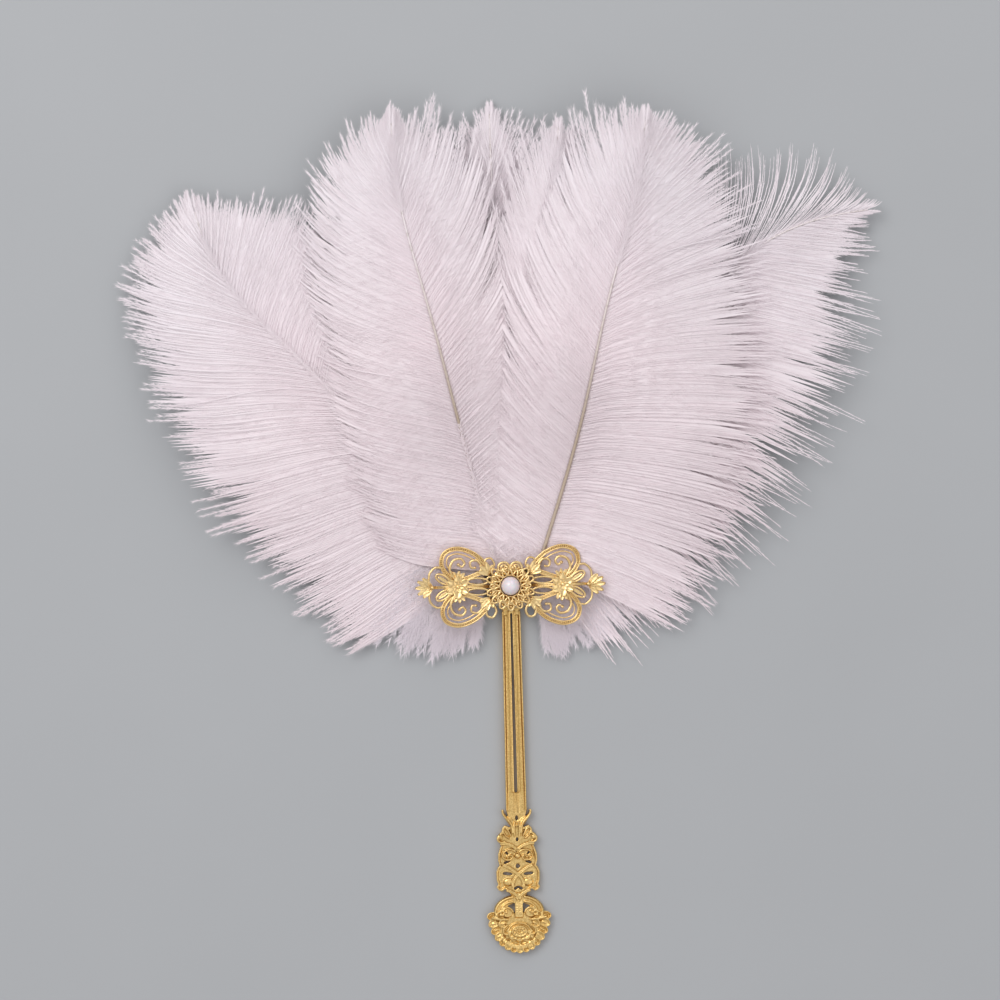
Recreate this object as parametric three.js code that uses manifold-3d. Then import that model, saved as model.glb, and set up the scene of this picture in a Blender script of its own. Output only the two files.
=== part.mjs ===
// A hand fan of six ostrich plumes on a cast gilt handle, with a filigree butterfly and a pearl.
// Millimetres. +Y runs from the handle to the plume tips and +Z is the front. The fan lies on its
// back on z = 0, with the origin under the pearl.

import * as THREE from 'three';
import { mergeVertices } from 'three/addons/utils/BufferGeometryUtils.js';
import Module from 'manifold-3d';

const wasm = await Module();
wasm.setup();

// Clearances
const seat = 0.3; // gap between two pieces that lie on each other
const overrun = 1; // how far a cutter runs past what it cuts

// Back cover, a thin stamped disc that hides the quill ends
const backCover = { radius: 10.2, thickness: 0.8, scallop: 0.35, scallops: 18 };

// Thread wound round the tang and the quills
const binding = { thread: 0.6, width: 4, foot: 9.4, cornerShare: 0.4 };

// Handle casting: two ribbed tines, a pierced ornament, an arch and a half lotus
const tang = { thickness: 1.2, rise: 9, foot: 3 };
const tines = {
  topWidth: 8.3, footWidth: 9.7, floor: 2.5, rim: 0.9, rib: 0.7,
  slotLead: 2.2, slotLength: 84, slotTopWidth: 0.8, slotFootWidth: 1.4,
};
const leaf = { panel: 8, drop: 8, tipAcross: 6.6, neckAcross: 2.6, thickness: 3 };
const ornament = { length: 32, width: 20.5, floor: 2.2, relief: 3, rim: 0.9 };
const arch = {
  width: 22.4, height: 10.6, band: 3.4, stem: 3.8, thickness: 2.8, bossWidth: 5.4, bossHeight: 4.4,
};
const lotus = {
  width: 29.8, drop: 18.8, tuck: 2.2, petal: 4.6, petalWidth: 3.5, floor: 2.2,
  discDrop: 8.6, discWidth: 7, discHeight: 5.2, rimWidth: 11.2, rimHeight: 8.4,
};

// Felt pad between the quills and the butterfly
const pad = { radius: 9.6, thickness: 0.8 };

// Filigree butterfly, one stamping with two mirrored wings
const wing = { reach: 44.6, height: 18.5, thickness: 0.8, wire: 1.3, thinWire: 0.9, bead: 1.4 };
const hub = { radius: 9.6 };

// Rosette, its cup and the half pearl
const rosette = { radius: 11.2, thickness: 1, loop: 2.6, wire: 0.9, wave: 0.6, ringWidth: 1.6 };
const cup = { floor: 0.6, wall: 0.5, height: 1.9 };
const pearl = { diameter: 8.8, height: 5.2 };

// Quills, three in each of two layers, and plume shafts
const quill = {
  radius: 0.95, foot: 10.2, lowerGap: 0.6, upperGap: 3, lowerShift: -0.9, upperShift: 2,
};
const shaft = { slimming: 0.1, tipRadius: 0.35, vaneRoot: 37, downRoot: 13 };

// Lie of the plumes: each layer is one curved sheet over the one behind it
const lie = {
  tableGap: 0.4, nearSpare: 0.25, farGap: 6, spreadFrom: 48, spreadOver: 70,
  archHeight: 15, archFrom: 28, archTo: 232, quillHold: 16, quillEase: 12,
};
const edgeAngles = { from: 50, to: 100 }; // degrees off the middle line where the fan lies lower
const edgeLiftShare = 0.2;

// Vanes: thin sheets whose outer part is split into pointed tufts
const vane = { rootThickness: 0.6, tipThickness: 0.5, tufts: 18, downTufts: 6 };
const tuft = { sheetShare: 0.62, shoulderShare: 0.83, narrowShare: 0.2, innerShare: 0.3, jitterShare: 0.07 };

// Counts of steps on round shapes
const steps = { shaftRings: 18, shaftSides: 6, lobe: 14, ring: 8, small: 6, round: 24, pearl: 16, waves: 2 };

// Lengths of the plumes and their longest barbs
const plumeLength = {
  farLeft: 236, left: 231, middle: 231, innerRight: 224, frontRight: 232, farRight: 260,
};
const leftBarb = { farLeft: 88, left: 71, middle: 62, innerRight: 60, frontRight: 74, farRight: 62 };
const rightBarb = { farLeft: 66, left: 67, middle: 62, innerRight: 60, frontRight: 88, farRight: 95 };
const downBarb = { farLeft: 62, farRight: 51 };

// Places down the handle from the pearl
const shoulder = backCover.radius + backCover.scallop + seat;
const slotTop = shoulder + tines.slotLead;
const slotFoot = slotTop + tines.slotLength;
const leafTip = slotFoot + leaf.panel;
const neck = leafTip + leaf.drop;
const ornamentFoot = neck + ornament.length;
const archFoot = ornamentFoot + arch.height;
const lotusTop = archFoot - lotus.tuck;

// Stack heights at the brooch, from the table up
const bindingBottom = backCover.thickness + seat;
const tangBottom = bindingBottom + binding.thread + seat;
const tangTop = tangBottom + tang.thickness;
const lowerQuillHeight = tangTop + seat + quill.radius;
const upperQuillHeight = lowerQuillHeight + 2 * quill.radius + seat;
const bindingInnerTop = upperQuillHeight + quill.radius + seat;
const padBottom = bindingInnerTop + binding.thread + seat;
const plateBottom = padBottom + pad.thickness + seat;
const rosetteBottom = plateBottom + wing.thickness + seat;
const pearlBottom = rosetteBottom + cup.floor + seat;
const cupRadius = pearl.diameter / 2 + seat + cup.wall;

// Quill places across the fan and the plume layers near the brooch
const lowerPitch = 2 * quill.radius + quill.lowerGap;
const upperPitch = 2 * quill.radius + quill.upperGap;
const shaftRootRadius = quill.radius - shaft.slimming;
const firstLayer = shaftRootRadius + lie.tableGap;
const nearGap = shaftRootRadius + seat + vane.rootThickness / 2 + lie.nearSpare;

// The six plumes from left to right. quillAcross is where the quill's cut end lies across the fan.
// Angles are degrees in the plane of the fan, from +X round to +Y, at even steps from root to tip.
// barb is the longest barb of a vane, lengthShares its shares at the same steps, and curlAngles is
// how far a barb turns along its length.
const plumes = [
  {
    name: 'far_left_plume', layer: 1, lower: true,
    quillAcross: quill.lowerShift - lowerPitch, length: plumeLength.farLeft,
    shaftAngles: [124, 126, 131, 133, 105],
    left: {
      barb: leftBarb.farLeft, lengthShares: [0.78, 1, 0.98, 0.7, 0.14],
      rootAngles: [204, 188, 174, 158, 118], curlAngles: [18, 20, 12, 4, 0],
    },
    right: {
      barb: rightBarb.farLeft, lengthShares: [0.62, 0.9, 1, 0.85, 0.16],
      rootAngles: [70, 72, 70, 62, 84], curlAngles: [0, -6, -8, 4, 0],
    },
    down: {
      side: 1, barb: downBarb.farLeft, lengthShares: [0.44, 0.62, 0.76, 0.88, 1],
      rootAngles: [262, 248, 236, 222, 208], curlAngles: [6, 8, 8, 10, 12],
    },
  },
  {
    name: 'left_plume', layer: 3, lower: false,
    quillAcross: quill.upperShift - upperPitch, length: plumeLength.left,
    shaftAngles: [101, 103, 103, 104, 91],
    left: {
      barb: leftBarb.left, lengthShares: [0.8, 0.98, 1, 0.8, 0.14],
      rootAngles: [176, 170, 162, 148, 104], curlAngles: [-6, -8, -10, -6, 0],
    },
    right: {
      barb: rightBarb.left, lengthShares: [0.72, 0.9, 1, 0.92, 0.14],
      rootAngles: [20, 28, 40, 60, 80], curlAngles: [10, 12, 14, 10, 0],
    },
  },
  {
    name: 'middle_plume', layer: 0, lower: true,
    quillAcross: quill.lowerShift, length: plumeLength.middle,
    shaftAngles: [90, 90, 91, 92, 90],
    left: {
      barb: leftBarb.middle, lengthShares: [0.8, 0.98, 1, 0.84, 0.12],
      rootAngles: [156, 148, 136, 122, 98], curlAngles: [-8, -8, -10, -8, 0],
    },
    right: {
      barb: rightBarb.middle, lengthShares: [0.8, 0.98, 1, 0.84, 0.12],
      rootAngles: [24, 32, 44, 58, 82], curlAngles: [8, 8, 10, 8, 0],
    },
  },
  {
    name: 'inner_right_plume', layer: 2, lower: false,
    quillAcross: quill.upperShift, length: plumeLength.innerRight,
    shaftAngles: [83, 83, 83, 84, 84],
    left: {
      barb: leftBarb.innerRight, lengthShares: [0.8, 0.98, 1, 0.84, 0.1],
      rootAngles: [146, 138, 128, 114, 93], curlAngles: [-8, -8, -8, -6, 0],
    },
    right: {
      barb: rightBarb.innerRight, lengthShares: [0.8, 0.98, 1, 0.84, 0.1],
      rootAngles: [22, 34, 48, 62, 78], curlAngles: [8, 8, 8, 6, 0],
    },
  },
  {
    name: 'front_right_plume', layer: 4, lower: false,
    quillAcross: quill.upperShift + upperPitch, length: plumeLength.frontRight,
    shaftAngles: [71, 72, 77, 73, 84],
    left: {
      barb: leftBarb.frontRight, lengthShares: [0.76, 0.96, 1, 0.84, 0.1],
      rootAngles: [156, 148, 136, 118, 92], curlAngles: [-12, -14, -16, -10, 0],
    },
    right: {
      barb: rightBarb.frontRight, lengthShares: [0.86, 1, 0.94, 0.68, 0.09],
      rootAngles: [-20, -4, 10, 34, 74], curlAngles: [-12, -14, -10, 2, 0],
    },
  },
  {
    name: 'far_right_plume', layer: 1, lower: true,
    quillAcross: quill.lowerShift + lowerPitch, length: plumeLength.farRight,
    shaftAngles: [60, 60, 56, 36, 5],
    left: {
      barb: leftBarb.farRight, lengthShares: [0.8, 0.95, 1, 0.76, 0.1],
      rootAngles: [126, 122, 116, 104, 24], curlAngles: [-16, -24, -30, -38, -4],
    },
    right: {
      barb: rightBarb.farRight, lengthShares: [0.64, 0.94, 1, 0.6, 0.06],
      rootAngles: [-46, -30, -14, -10, -2], curlAngles: [-6, -10, -12, -10, 0],
    },
    down: {
      side: -1, barb: downBarb.farRight, lengthShares: [0.68, 0.8, 0.88, 0.94, 1],
      rootAngles: [-62, -58, -55, -51, -47], curlAngles: [0, -2, -4, -5, -6],
    },
  },
];

// Finishes
const finishes = {
  gilt: { color: 0xe0bd6c, roughness: 0.34, metalness: 1 },
  brass: { color: 0xc9a556, roughness: 0.45, metalness: 1 },
  feather: { color: 0xf1ecee, roughness: 0.85, metalness: 0 },
  shaft: { color: 0xb8a893, roughness: 0.5, metalness: 0 },
  felt: { color: 0xe9e4dd, roughness: 0.95, metalness: 0 },
  thread: { color: 0xf3efe6, roughness: 0.8, metalness: 0 },
  pearl: { color: 0xf4ecf0, roughness: 0.2, metalness: 0 },
};

const fan = new THREE.Group();

// Adds one named piece to the fan.
function addPiece(name, geometry, finish) {
  const mesh = new THREE.Mesh(geometry, new THREE.MeshStandardMaterial(finishes[finish]));
  mesh.name = name;
  fan.add(mesh);
}

// Closed geometry to a manifold solid.
function toSolid(geometry) {
  geometry.deleteAttribute('normal');
  geometry.deleteAttribute('uv');
  const merged = mergeVertices(geometry);
  return new wasm.Manifold(new wasm.Mesh({
    numProp: 3,
    vertProperties: new Float32Array(merged.attributes.position.array),
    triVerts: new Uint32Array(merged.index.array),
  }));
}

// Manifold solid back to a geometry.
function toGeometry(solid) {
  const mesh = solid.getMesh();
  const geometry = new THREE.BufferGeometry();
  geometry.setAttribute('position', new THREE.BufferAttribute(mesh.vertProperties, 3));
  geometry.setIndex(new THREE.BufferAttribute(mesh.triVerts, 1));
  return geometry;
}

function joinAll(solids) {
  return solids.reduce((whole, solid) => whole.add(solid));
}

function cutAll(whole, cutters) {
  return cutters.reduce((rest, cutter) => rest.subtract(cutter), whole);
}

// Straight prism of a flat outline without its holes between two heights.
function prism(shape, bottom, top) {
  const outline = new THREE.Shape(shape.getPoints(steps.small));
  const geometry = new THREE.ExtrudeGeometry(outline, { depth: top - bottom, bevelEnabled: false });
  geometry.translate(0, 0, bottom);
  return toSolid(geometry);
}

// Straight slab of a flat outline, with its holes cut through.
function slab(shape, bottom, top) {
  const holes = shape.holes.map((hole) => prism(hole, bottom - overrun, top + overrun));
  return cutAll(prism(shape, bottom, top), holes);
}

function polygon(points) {
  return new THREE.Shape(points.map(([x, y]) => new THREE.Vector2(x, y)));
}

// Points of an ellipse with half axes a and b, turned by an angle in degrees.
function ellipsePoints(x, y, a, b, angle, count) {
  const turn = THREE.MathUtils.degToRad(angle);
  return Array.from({ length: count }, (_, i) => {
    const t = (2 * Math.PI * i) / count;
    const across = a * Math.cos(t);
    const along = b * Math.sin(t);
    return [
      x + across * Math.cos(turn) - along * Math.sin(turn),
      y + across * Math.sin(turn) + along * Math.cos(turn),
    ];
  });
}

function ellipse(x, y, a, b, angle = 0, count = steps.ring) {
  return polygon(ellipsePoints(x, y, a, b, angle, count));
}

// Flat ring that follows an ellipse, with its wire centred on it.
function ellipseRing(x, y, a, b, angle, width, count = steps.ring) {
  const shape = ellipse(x, y, a + width / 2, b + width / 2, angle, count);
  shape.holes.push(ellipse(x, y, a - width / 2, b - width / 2, angle, count));
  return shape;
}

// Flat strip of wire along a smooth curve through the points.
function wireStrip(points, width, closed, count) {
  const curve = new THREE.CatmullRomCurve3(
    points.map(([x, y]) => new THREE.Vector3(x, y, 0)), closed, 'centripetal',
  );
  const sides = [[], []];
  const last = closed ? count - 1 : count;
  for (let i = 0; i <= last; i += 1) {
    const point = curve.getPoint(i / count);
    const tangent = curve.getTangent(i / count);
    [1, -1].forEach((sign, side) => {
      const offset = (sign * width) / 2;
      sides[side].push([point.x - tangent.y * offset, point.y + tangent.x * offset]);
    });
  }
  if (!closed) {
    return polygon([...sides[0], ...sides[1].reverse()]);
  }
  const area = (ring) => Math.abs(THREE.ShapeUtils.area(polygon(ring).getPoints()));
  const [outer, inner] = area(sides[0]) > area(sides[1]) ? sides : [sides[1], sides[0]];
  const shape = polygon(outer);
  shape.holes.push(polygon(inner));
  return shape;
}

// Both mirror images of an outline maker that takes the side, 1 or -1.
function mirrored(make) {
  return [1, -1].map((side) => make(side));
}

// Smooth step from 0 to 1 as value goes from start over span.
function ease(value, start, span) {
  return THREE.MathUtils.smoothstep(value, start, start + span);
}

// Value at a share of the way along a list of evenly spaced values.
function along(values, share) {
  const place = THREE.MathUtils.clamp(share, 0, 1) * (values.length - 1);
  const i = Math.min(Math.floor(place), values.length - 2);
  const before = values[Math.max(i - 1, 0)];
  const after = values[Math.min(i + 2, values.length - 1)];
  const t = place - i;
  const slopeIn = (values[i + 1] - before) / 2;
  const slopeOut = (after - values[i]) / 2;
  const t2 = t * t;
  const t3 = t2 * t;
  return (2 * t3 - 3 * t2 + 1) * values[i] + (t3 - 2 * t2 + t) * slopeIn
    + (3 * t2 - 2 * t3) * values[i + 1] + (t3 - t2) * slopeOut;
}

// Height of a plume layer's middle over the table at a place in the plane of the fan.
function layerHeight(plume, x, y) {
  const reach = Math.hypot(x, y);
  const off = THREE.MathUtils.radToDeg(Math.acos(THREE.MathUtils.clamp(y / Math.max(reach, seat), -1, 1)));
  const kept = 1 - (1 - edgeLiftShare) * THREE.MathUtils.smoothstep(off, edgeAngles.from, edgeAngles.to);
  const swing = THREE.MathUtils.clamp((reach - lie.archFrom) / (lie.archTo - lie.archFrom), 0, 1);
  const rise = lie.archHeight * Math.sin(Math.PI * swing) * kept;
  const gap = nearGap + (lie.farGap - nearGap) * ease(reach, lie.spreadFrom, lie.spreadOver) * kept;
  const spread = firstLayer + rise + plume.layer * gap;
  const held = plume.lower ? lowerQuillHeight : upperQuillHeight;
  return THREE.MathUtils.lerp(held, spread, ease(reach, lie.quillHold, lie.quillEase));
}

// Places along a shaft: the point, the heading in radians and the radius at a distance from the quill's end.
function traceShaft(plume) {
  const start = new THREE.Vector2(plume.quillAcross, -quill.foot);
  const places = [];
  const count = steps.shaftRings * steps.shaftRings;
  const step = plume.length / count;
  const point = start.clone();
  for (let i = 0; i <= count; i += 1) {
    const heading = THREE.MathUtils.degToRad(along(plume.shaftAngles, i / count));
    places.push({ x: point.x, y: point.y, heading });
    point.x += step * Math.cos(heading);
    point.y += step * Math.sin(heading);
  }
  return (distance) => {
    const share = THREE.MathUtils.clamp(distance / plume.length, 0, 1);
    const place = places[Math.round(share * count)];
    const taper = ease(distance, shaft.vaneRoot / 2, shaft.vaneRoot / 2);
    const plain = THREE.MathUtils.lerp(shaftRootRadius, shaft.tipRadius, share);
    return { ...place, radius: THREE.MathUtils.lerp(quill.radius, plain, taper) };
  };
}

// Closed tube through ring centres with its own radius at each ring.
function taperedTube(places, sides) {
  const positions = [];
  const indices = [];
  places.forEach((place) => {
    const across = new THREE.Vector3(-Math.sin(place.heading), Math.cos(place.heading), 0);
    for (let s = 0; s < sides; s += 1) {
      const angle = (2 * Math.PI * s) / sides;
      const side = place.radius * Math.cos(angle);
      const lift = place.radius * Math.sin(angle);
      positions.push(place.x + across.x * side, place.y + across.y * side, place.z + lift);
    }
  });
  for (let ring = 0; ring + 1 < places.length; ring += 1) {
    for (let s = 0; s < sides; s += 1) {
      const a = ring * sides + s;
      const b = ring * sides + ((s + 1) % sides);
      indices.push(a, b, a + sides, b, b + sides, a + sides);
    }
  }
  const lastRing = (places.length - 1) * sides;
  for (let s = 1; s + 1 < sides; s += 1) {
    indices.push(0, s + 1, s);
    indices.push(lastRing, lastRing + s, lastRing + s + 1);
  }
  return closedGeometry(positions, indices);
}

// Geometry from loose lists, turned right side out if it is inside out.
function closedGeometry(positions, indices) {
  const at = (i) => new THREE.Vector3(positions[3 * i], positions[3 * i + 1], positions[3 * i + 2]);
  let volume = 0;
  for (let i = 0; i < indices.length; i += 3) {
    volume += at(indices[i]).dot(at(indices[i + 1]).cross(at(indices[i + 2])));
  }
  const faces = volume > 0 ? indices : indices.slice().reverse();
  const geometry = new THREE.BufferGeometry();
  geometry.setAttribute('position', new THREE.Float32BufferAttribute(positions, 3));
  geometry.setIndex(faces);
  return geometry;
}

function makeShaft(plume, trace) {
  const places = Array.from({ length: steps.shaftRings + 1 }, (_, i) => {
    const place = trace((plume.length * i) / steps.shaftRings);
    return { ...place, z: layerHeight(plume, place.x, place.y) };
  });
  return taperedTube(places, steps.shaftSides);
}

// Point on a barb: share 0 is at the shaft and 1 at the barb's end.
function barbPoint(trace, side, barbs, range, barbShare, share, stretch) {
  const place = trace(THREE.MathUtils.lerp(range.from, range.to, barbShare));
  const offset = side * (place.radius + seat);
  const heading = THREE.MathUtils.degToRad(along(barbs.rootAngles, barbShare));
  const curl = THREE.MathUtils.degToRad(along(barbs.curlAngles, barbShare));
  const length = barbs.barb * along(barbs.lengthShares, barbShare) * share * stretch;
  const middle = heading + (curl * share) / 2;
  return {
    x: place.x - offset * Math.sin(place.heading) + length * Math.cos(middle),
    y: place.y + offset * Math.cos(place.heading) + length * Math.sin(middle),
  };
}

// A vane: one closed sheet beside the shaft whose outer part is a row of pointed tufts.
function makeVane(plume, trace, side, barbs, range, tufts) {
  const positions = [];
  const indices = [];
  const addColumn = (barbShare, share, stretch) => {
    const { x, y } = barbPoint(trace, side, barbs, range, barbShare, share, stretch);
    const half = THREE.MathUtils.lerp(vane.rootThickness, vane.tipThickness, share) / 2;
    const z = layerHeight(plume, x, y);
    positions.push(x, y, z + half, x, y, z - half);
    return positions.length / 3 - 2;
  };
  const wall = (a, b) => indices.push(b, b + 1, a, a, b + 1, a + 1);
  const cap = (a, b, c) => indices.push(a, b, c, a + 1, c + 1, b + 1);
  const sheetShares = [0, tuft.innerShare, tuft.sheetShare];
  const rows = Array.from({ length: tufts + 1 }, (_, i) => (
    sheetShares.map((share) => addColumn(i / tufts, share, 1))
  ));
  for (let i = 0; i < tufts; i += 1) {
    for (let k = 0; k + 1 < sheetShares.length; k += 1) {
      cap(rows[i][k], rows[i + 1][k], rows[i + 1][k + 1]);
      cap(rows[i][k], rows[i + 1][k + 1], rows[i][k + 1]);
    }
    wall(rows[i + 1][0], rows[i][0]);
    const stretch = 1 + tuft.jitterShare * Math.sin(i * i + plume.layer);
    const low = rows[i][sheetShares.length - 1];
    const high = rows[i + 1][sheetShares.length - 1];
    const shoulderLow = addColumn((i + tuft.narrowShare) / tufts, tuft.shoulderShare, 1);
    const shoulderHigh = addColumn((i + 1 - tuft.narrowShare) / tufts, tuft.shoulderShare, 1);
    const tip = addColumn((i + 1 / 2) / tufts, 1, stretch);
    cap(low, high, shoulderHigh);
    cap(low, shoulderHigh, shoulderLow);
    cap(shoulderLow, shoulderHigh, tip);
    wall(low, shoulderLow);
    wall(shoulderLow, tip);
    wall(tip, shoulderHigh);
    wall(shoulderHigh, high);
  }
  for (let k = 0; k + 1 < sheetShares.length; k += 1) {
    wall(rows[0][k], rows[0][k + 1]);
    wall(rows[tufts][k + 1], rows[tufts][k]);
  }
  return closedGeometry(positions, indices);
}

function addPlume(plume) {
  const trace = traceShaft(plume);
  addPiece(`${plume.name}_shaft`, makeShaft(plume, trace), 'shaft');
  const range = { from: shaft.vaneRoot, to: plume.length };
  const left = makeVane(plume, trace, 1, plume.left, range, vane.tufts);
  const right = makeVane(plume, trace, -1, plume.right, range, vane.tufts);
  addPiece(`${plume.name}_left_vane`, left, 'feather');
  addPiece(`${plume.name}_right_vane`, right, 'feather');
  if (plume.down) {
    const foot = { from: shaft.downRoot, to: shaft.vaneRoot - seat };
    const down = makeVane(plume, trace, plume.down.side, plume.down, foot, vane.downTufts);
    addPiece(`${plume.name}_down`, down, 'feather');
  }
}

// The two tines, their rims and ribs, and the tang that carries the quills.
function makeTines() {
  const top = -shoulder;
  const halfAt = (down) => THREE.MathUtils.mapLinear(
    down, slotTop, slotFoot, tines.topWidth / 2, tines.footWidth / 2,
  );
  const slotHalfAt = (down) => THREE.MathUtils.mapLinear(
    down, slotTop, slotFoot, tines.slotTopWidth / 2, tines.slotFootWidth / 2,
  );
  const bar = polygon([
    [-halfAt(-top), top], [-halfAt(leafTip), -leafTip], [-leaf.neckAcross, -neck],
    [leaf.neckAcross, -neck], [halfAt(leafTip), -leafTip], [halfAt(-top), top],
  ]);
  const rims = mirrored((side) => polygon([
    [side * halfAt(-top), top], [side * halfAt(leafTip), -leafTip],
    [side * (halfAt(leafTip) - tines.rim), -leafTip], [side * (halfAt(-top) - tines.rim), top],
  ]));
  const ribs = mirrored((side) => polygon([
    [side * slotHalfAt(-top), top], [side * slotHalfAt(slotFoot), -slotFoot],
    [side * (slotHalfAt(slotFoot) + tines.rib), -slotFoot],
    [side * (slotHalfAt(-top) + tines.rib), top],
  ]));
  const slot = polygon([
    [-slotHalfAt(slotTop), -slotTop], [-slotHalfAt(slotFoot), -slotFoot],
    [slotHalfAt(slotFoot), -slotFoot], [slotHalfAt(slotTop), -slotTop],
  ]);
  const tangShape = polygon([
    [-tines.topWidth / 2, tang.rise], [-tines.topWidth / 2, top - tang.foot],
    [tines.topWidth / 2, top - tang.foot], [tines.topWidth / 2, tang.rise],
  ]);
  const solid = joinAll([
    slab(bar, 0, tines.floor),
    ...[...rims, ...ribs].map((shape) => slab(shape, 0, tangTop)),
    slab(tangShape, tangBottom, tangTop),
  ]);
  return solid.subtract(slab(slot, -overrun, tangTop + overrun));
}

// The pair of hooked leaves that close the tines.
function makeLeaves() {
  return mirrored((side) => {
    const shape = new THREE.Shape();
    shape.moveTo(side * leaf.tipAcross, -leafTip);
    const belly = (leafTip + neck) / 2;
    shape.quadraticCurveTo(side * leaf.tipAcross, -belly, side * leaf.neckAcross, -neck);
    shape.lineTo(-side * tines.rib, -neck);
    shape.lineTo(side * leaf.neckAcross, -belly);
    shape.quadraticCurveTo(side * tines.footWidth / 2, -belly, side * leaf.tipAcross, -leafTip);
    return slab(shape, 0, leaf.thickness);
  });
}

// The pierced ornament's right edge from the neck to its foot, and its holes: shares of its half
// width across and of its length down from the neck.
const edgeShares = [
  [0.25, -0.03], [0.33, 0.012], [0.54, -0.02], [0.67, 0.02], [0.71, 0.08], [0.86, 0.115], [0.92, 0.165],
  [0.83, 0.217], [0.7, 0.245], [0.8, 0.315], [0.89, 0.405], [0.9, 0.49], [0.84, 0.57], [0.92, 0.6],
  [1, 0.665], [0.98, 0.79], [0.92, 0.845], [0.995, 0.885], [0.9, 0.93], [0.76, 0.945], [0.61, 0.915],
  [0.48, 0.94], [0.37, 0.985], [0.34, 1],
];
const pierceShares = [
  { across: 0, down: 0.19, wide: 0.06, tall: 0.035, angle: 0 },
  { across: 0.52, down: 0.38, wide: 0.17, tall: 0.014, angle: 48 },
  { across: 0.5, down: 0.52, wide: 0.18, tall: 0.018, angle: -20 },
  { across: 0, down: 0.58, wide: 0.1, tall: 0.04, angle: 0 },
  { across: 0.48, down: 0.69, wide: 0.26, tall: 0.024, angle: 6 },
  { across: 0.1, down: 0.9, wide: 0.14, tall: 0.02, angle: -35 },
];

// The pierced ornament below the leaves: a floor inside a raised rim.
function makeOrnament() {
  const half = ornament.width / 2;
  const downAt = (share) => -(neck + ornament.length * share);
  const side = (sign) => edgeShares.map(([across, down]) => [sign * half * across, downAt(down)]);
  const outline = new wasm.CrossSection([[...side(-1), ...side(1).reverse()]]);
  const inside = outline.offset(-ornament.rim, 'Miter', 2);
  const solid = joinAll([
    outline.extrude(ornament.floor),
    outline.subtract(inside).extrude(ornament.relief),
  ]);
  const holes = pierceShares.flatMap((hole) => mirrored((sign) => slab(
    ellipse(
      sign * half * hole.across, downAt(hole.down), half * hole.wide,
      ornament.length * hole.tall, sign * hole.angle, steps.small,
    ),
    -overrun,
    ornament.relief + overrun,
  )));
  return cutAll(solid, holes);
}

// The teardrop hole in the panel between the slot and the leaves.
function makeTeardrop() {
  const middle = (leafTip + neck) / 2;
  return slab(
    ellipse(0, -middle, tines.rib, leaf.neckAcross / 2, 0, steps.small), -overrun, tangTop + overrun,
  );
}

// The arch over the lotus, with its stem and two scroll bosses.
function makeArch() {
  const half = arch.width / 2;
  const line = arch.band / 2;
  const band = ellipseRing(0, -archFoot, half - line, arch.height - line, 0, arch.band, steps.lobe);
  const lowerHalf = polygon([
    [-half - overrun, -archFoot], [-half - overrun, -archFoot - arch.height - overrun],
    [half + overrun, -archFoot - arch.height - overrun], [half + overrun, -archFoot],
  ]);
  const stem = polygon([
    [-arch.stem / 2, -ornamentFoot + overrun], [-arch.stem / 2, -archFoot],
    [arch.stem / 2, -archFoot], [arch.stem / 2, -ornamentFoot + overrun],
  ]);
  const bosses = mirrored((side) => slab(
    ellipse(side * half / 2, -lotusTop, arch.bossWidth / 2, arch.bossHeight / 2), 0, arch.thickness,
  ));
  return joinAll([
    slab(band, 0, arch.thickness).subtract(slab(lowerHalf, -overrun, arch.thickness + overrun)),
    slab(stem, 0, arch.thickness),
    ...bosses,
  ]);
}

// Petal rows of the half lotus: how far out they stand, their count, and how far they and every
// second petal rise over the floor.
const petalRows = [
  { reachShare: 1, count: 15, liftShare: 0.15 },
  { reachShare: 0.73, count: 11, liftShare: 0.6 },
];
const secondPetalShare = 0.25;

// The half lotus at the handle's end.
function makeLotus() {
  const half = lotus.width / 2;
  const petalHalf = lotus.petal / 2;
  const disc = ellipse(0, -lotusTop, half - petalHalf, lotus.drop - petalHalf, 0, steps.round);
  const upper = polygon([
    [-half - overrun, -lotusTop], [half + overrun, -lotusTop],
    [half + overrun, lotus.drop - lotusTop], [-half - overrun, lotus.drop - lotusTop],
  ]);
  const base = slab(disc, 0, lotus.floor).subtract(slab(upper, -overrun, lotus.floor + overrun));
  const petals = petalRows.flatMap((row) => Array.from({ length: row.count }, (_, i) => {
    const angle = -(Math.PI * (i + 1 / 2)) / row.count;
    const x = (half - petalHalf) * Math.cos(angle) * row.reachShare;
    const y = (lotus.drop - petalHalf) * Math.sin(angle) * row.reachShare;
    const liftShare = row.liftShare + (i % 2) * secondPetalShare;
    const shape = ellipse(
      x, y - lotusTop, petalHalf, lotus.petalWidth / 2, THREE.MathUtils.radToDeg(angle), steps.small,
    );
    return slab(shape, 0, THREE.MathUtils.lerp(lotus.floor, tangTop, liftShare));
  }));
  const middle = -lotusTop - lotus.discDrop;
  const rim = ellipse(0, middle, lotus.rimWidth / 2, lotus.rimHeight / 2, 0, steps.lobe);
  const heart = ellipse(0, middle, lotus.discWidth / 2, lotus.discHeight / 2, 0, steps.lobe);
  return joinAll([base, ...petals, slab(rim, 0, tangTop), slab(heart, 0, tangTop + seat)]);
}

function addHandle() {
  const solid = joinAll([makeTines(), ...makeLeaves(), makeOrnament(), makeArch(), makeLotus()]);
  addPiece('handle', toGeometry(solid.subtract(makeTeardrop())), 'gilt');
}

// Disc whose edge waves in and out by a depth.
function scallopedDisc(radius, depth, waves, count) {
  return polygon(Array.from({ length: count }, (_, i) => {
    const t = (2 * Math.PI * i) / count;
    const reach = radius + depth * Math.cos(waves * t);
    return [reach * Math.cos(t), reach * Math.sin(t)];
  }));
}

function addBackCover() {
  const count = backCover.scallops * steps.waves;
  const shape = scallopedDisc(backCover.radius, backCover.scallop, backCover.scallops, count);
  addPiece('back_cover', toGeometry(slab(shape, 0, backCover.thickness)), 'brass');
}

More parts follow.
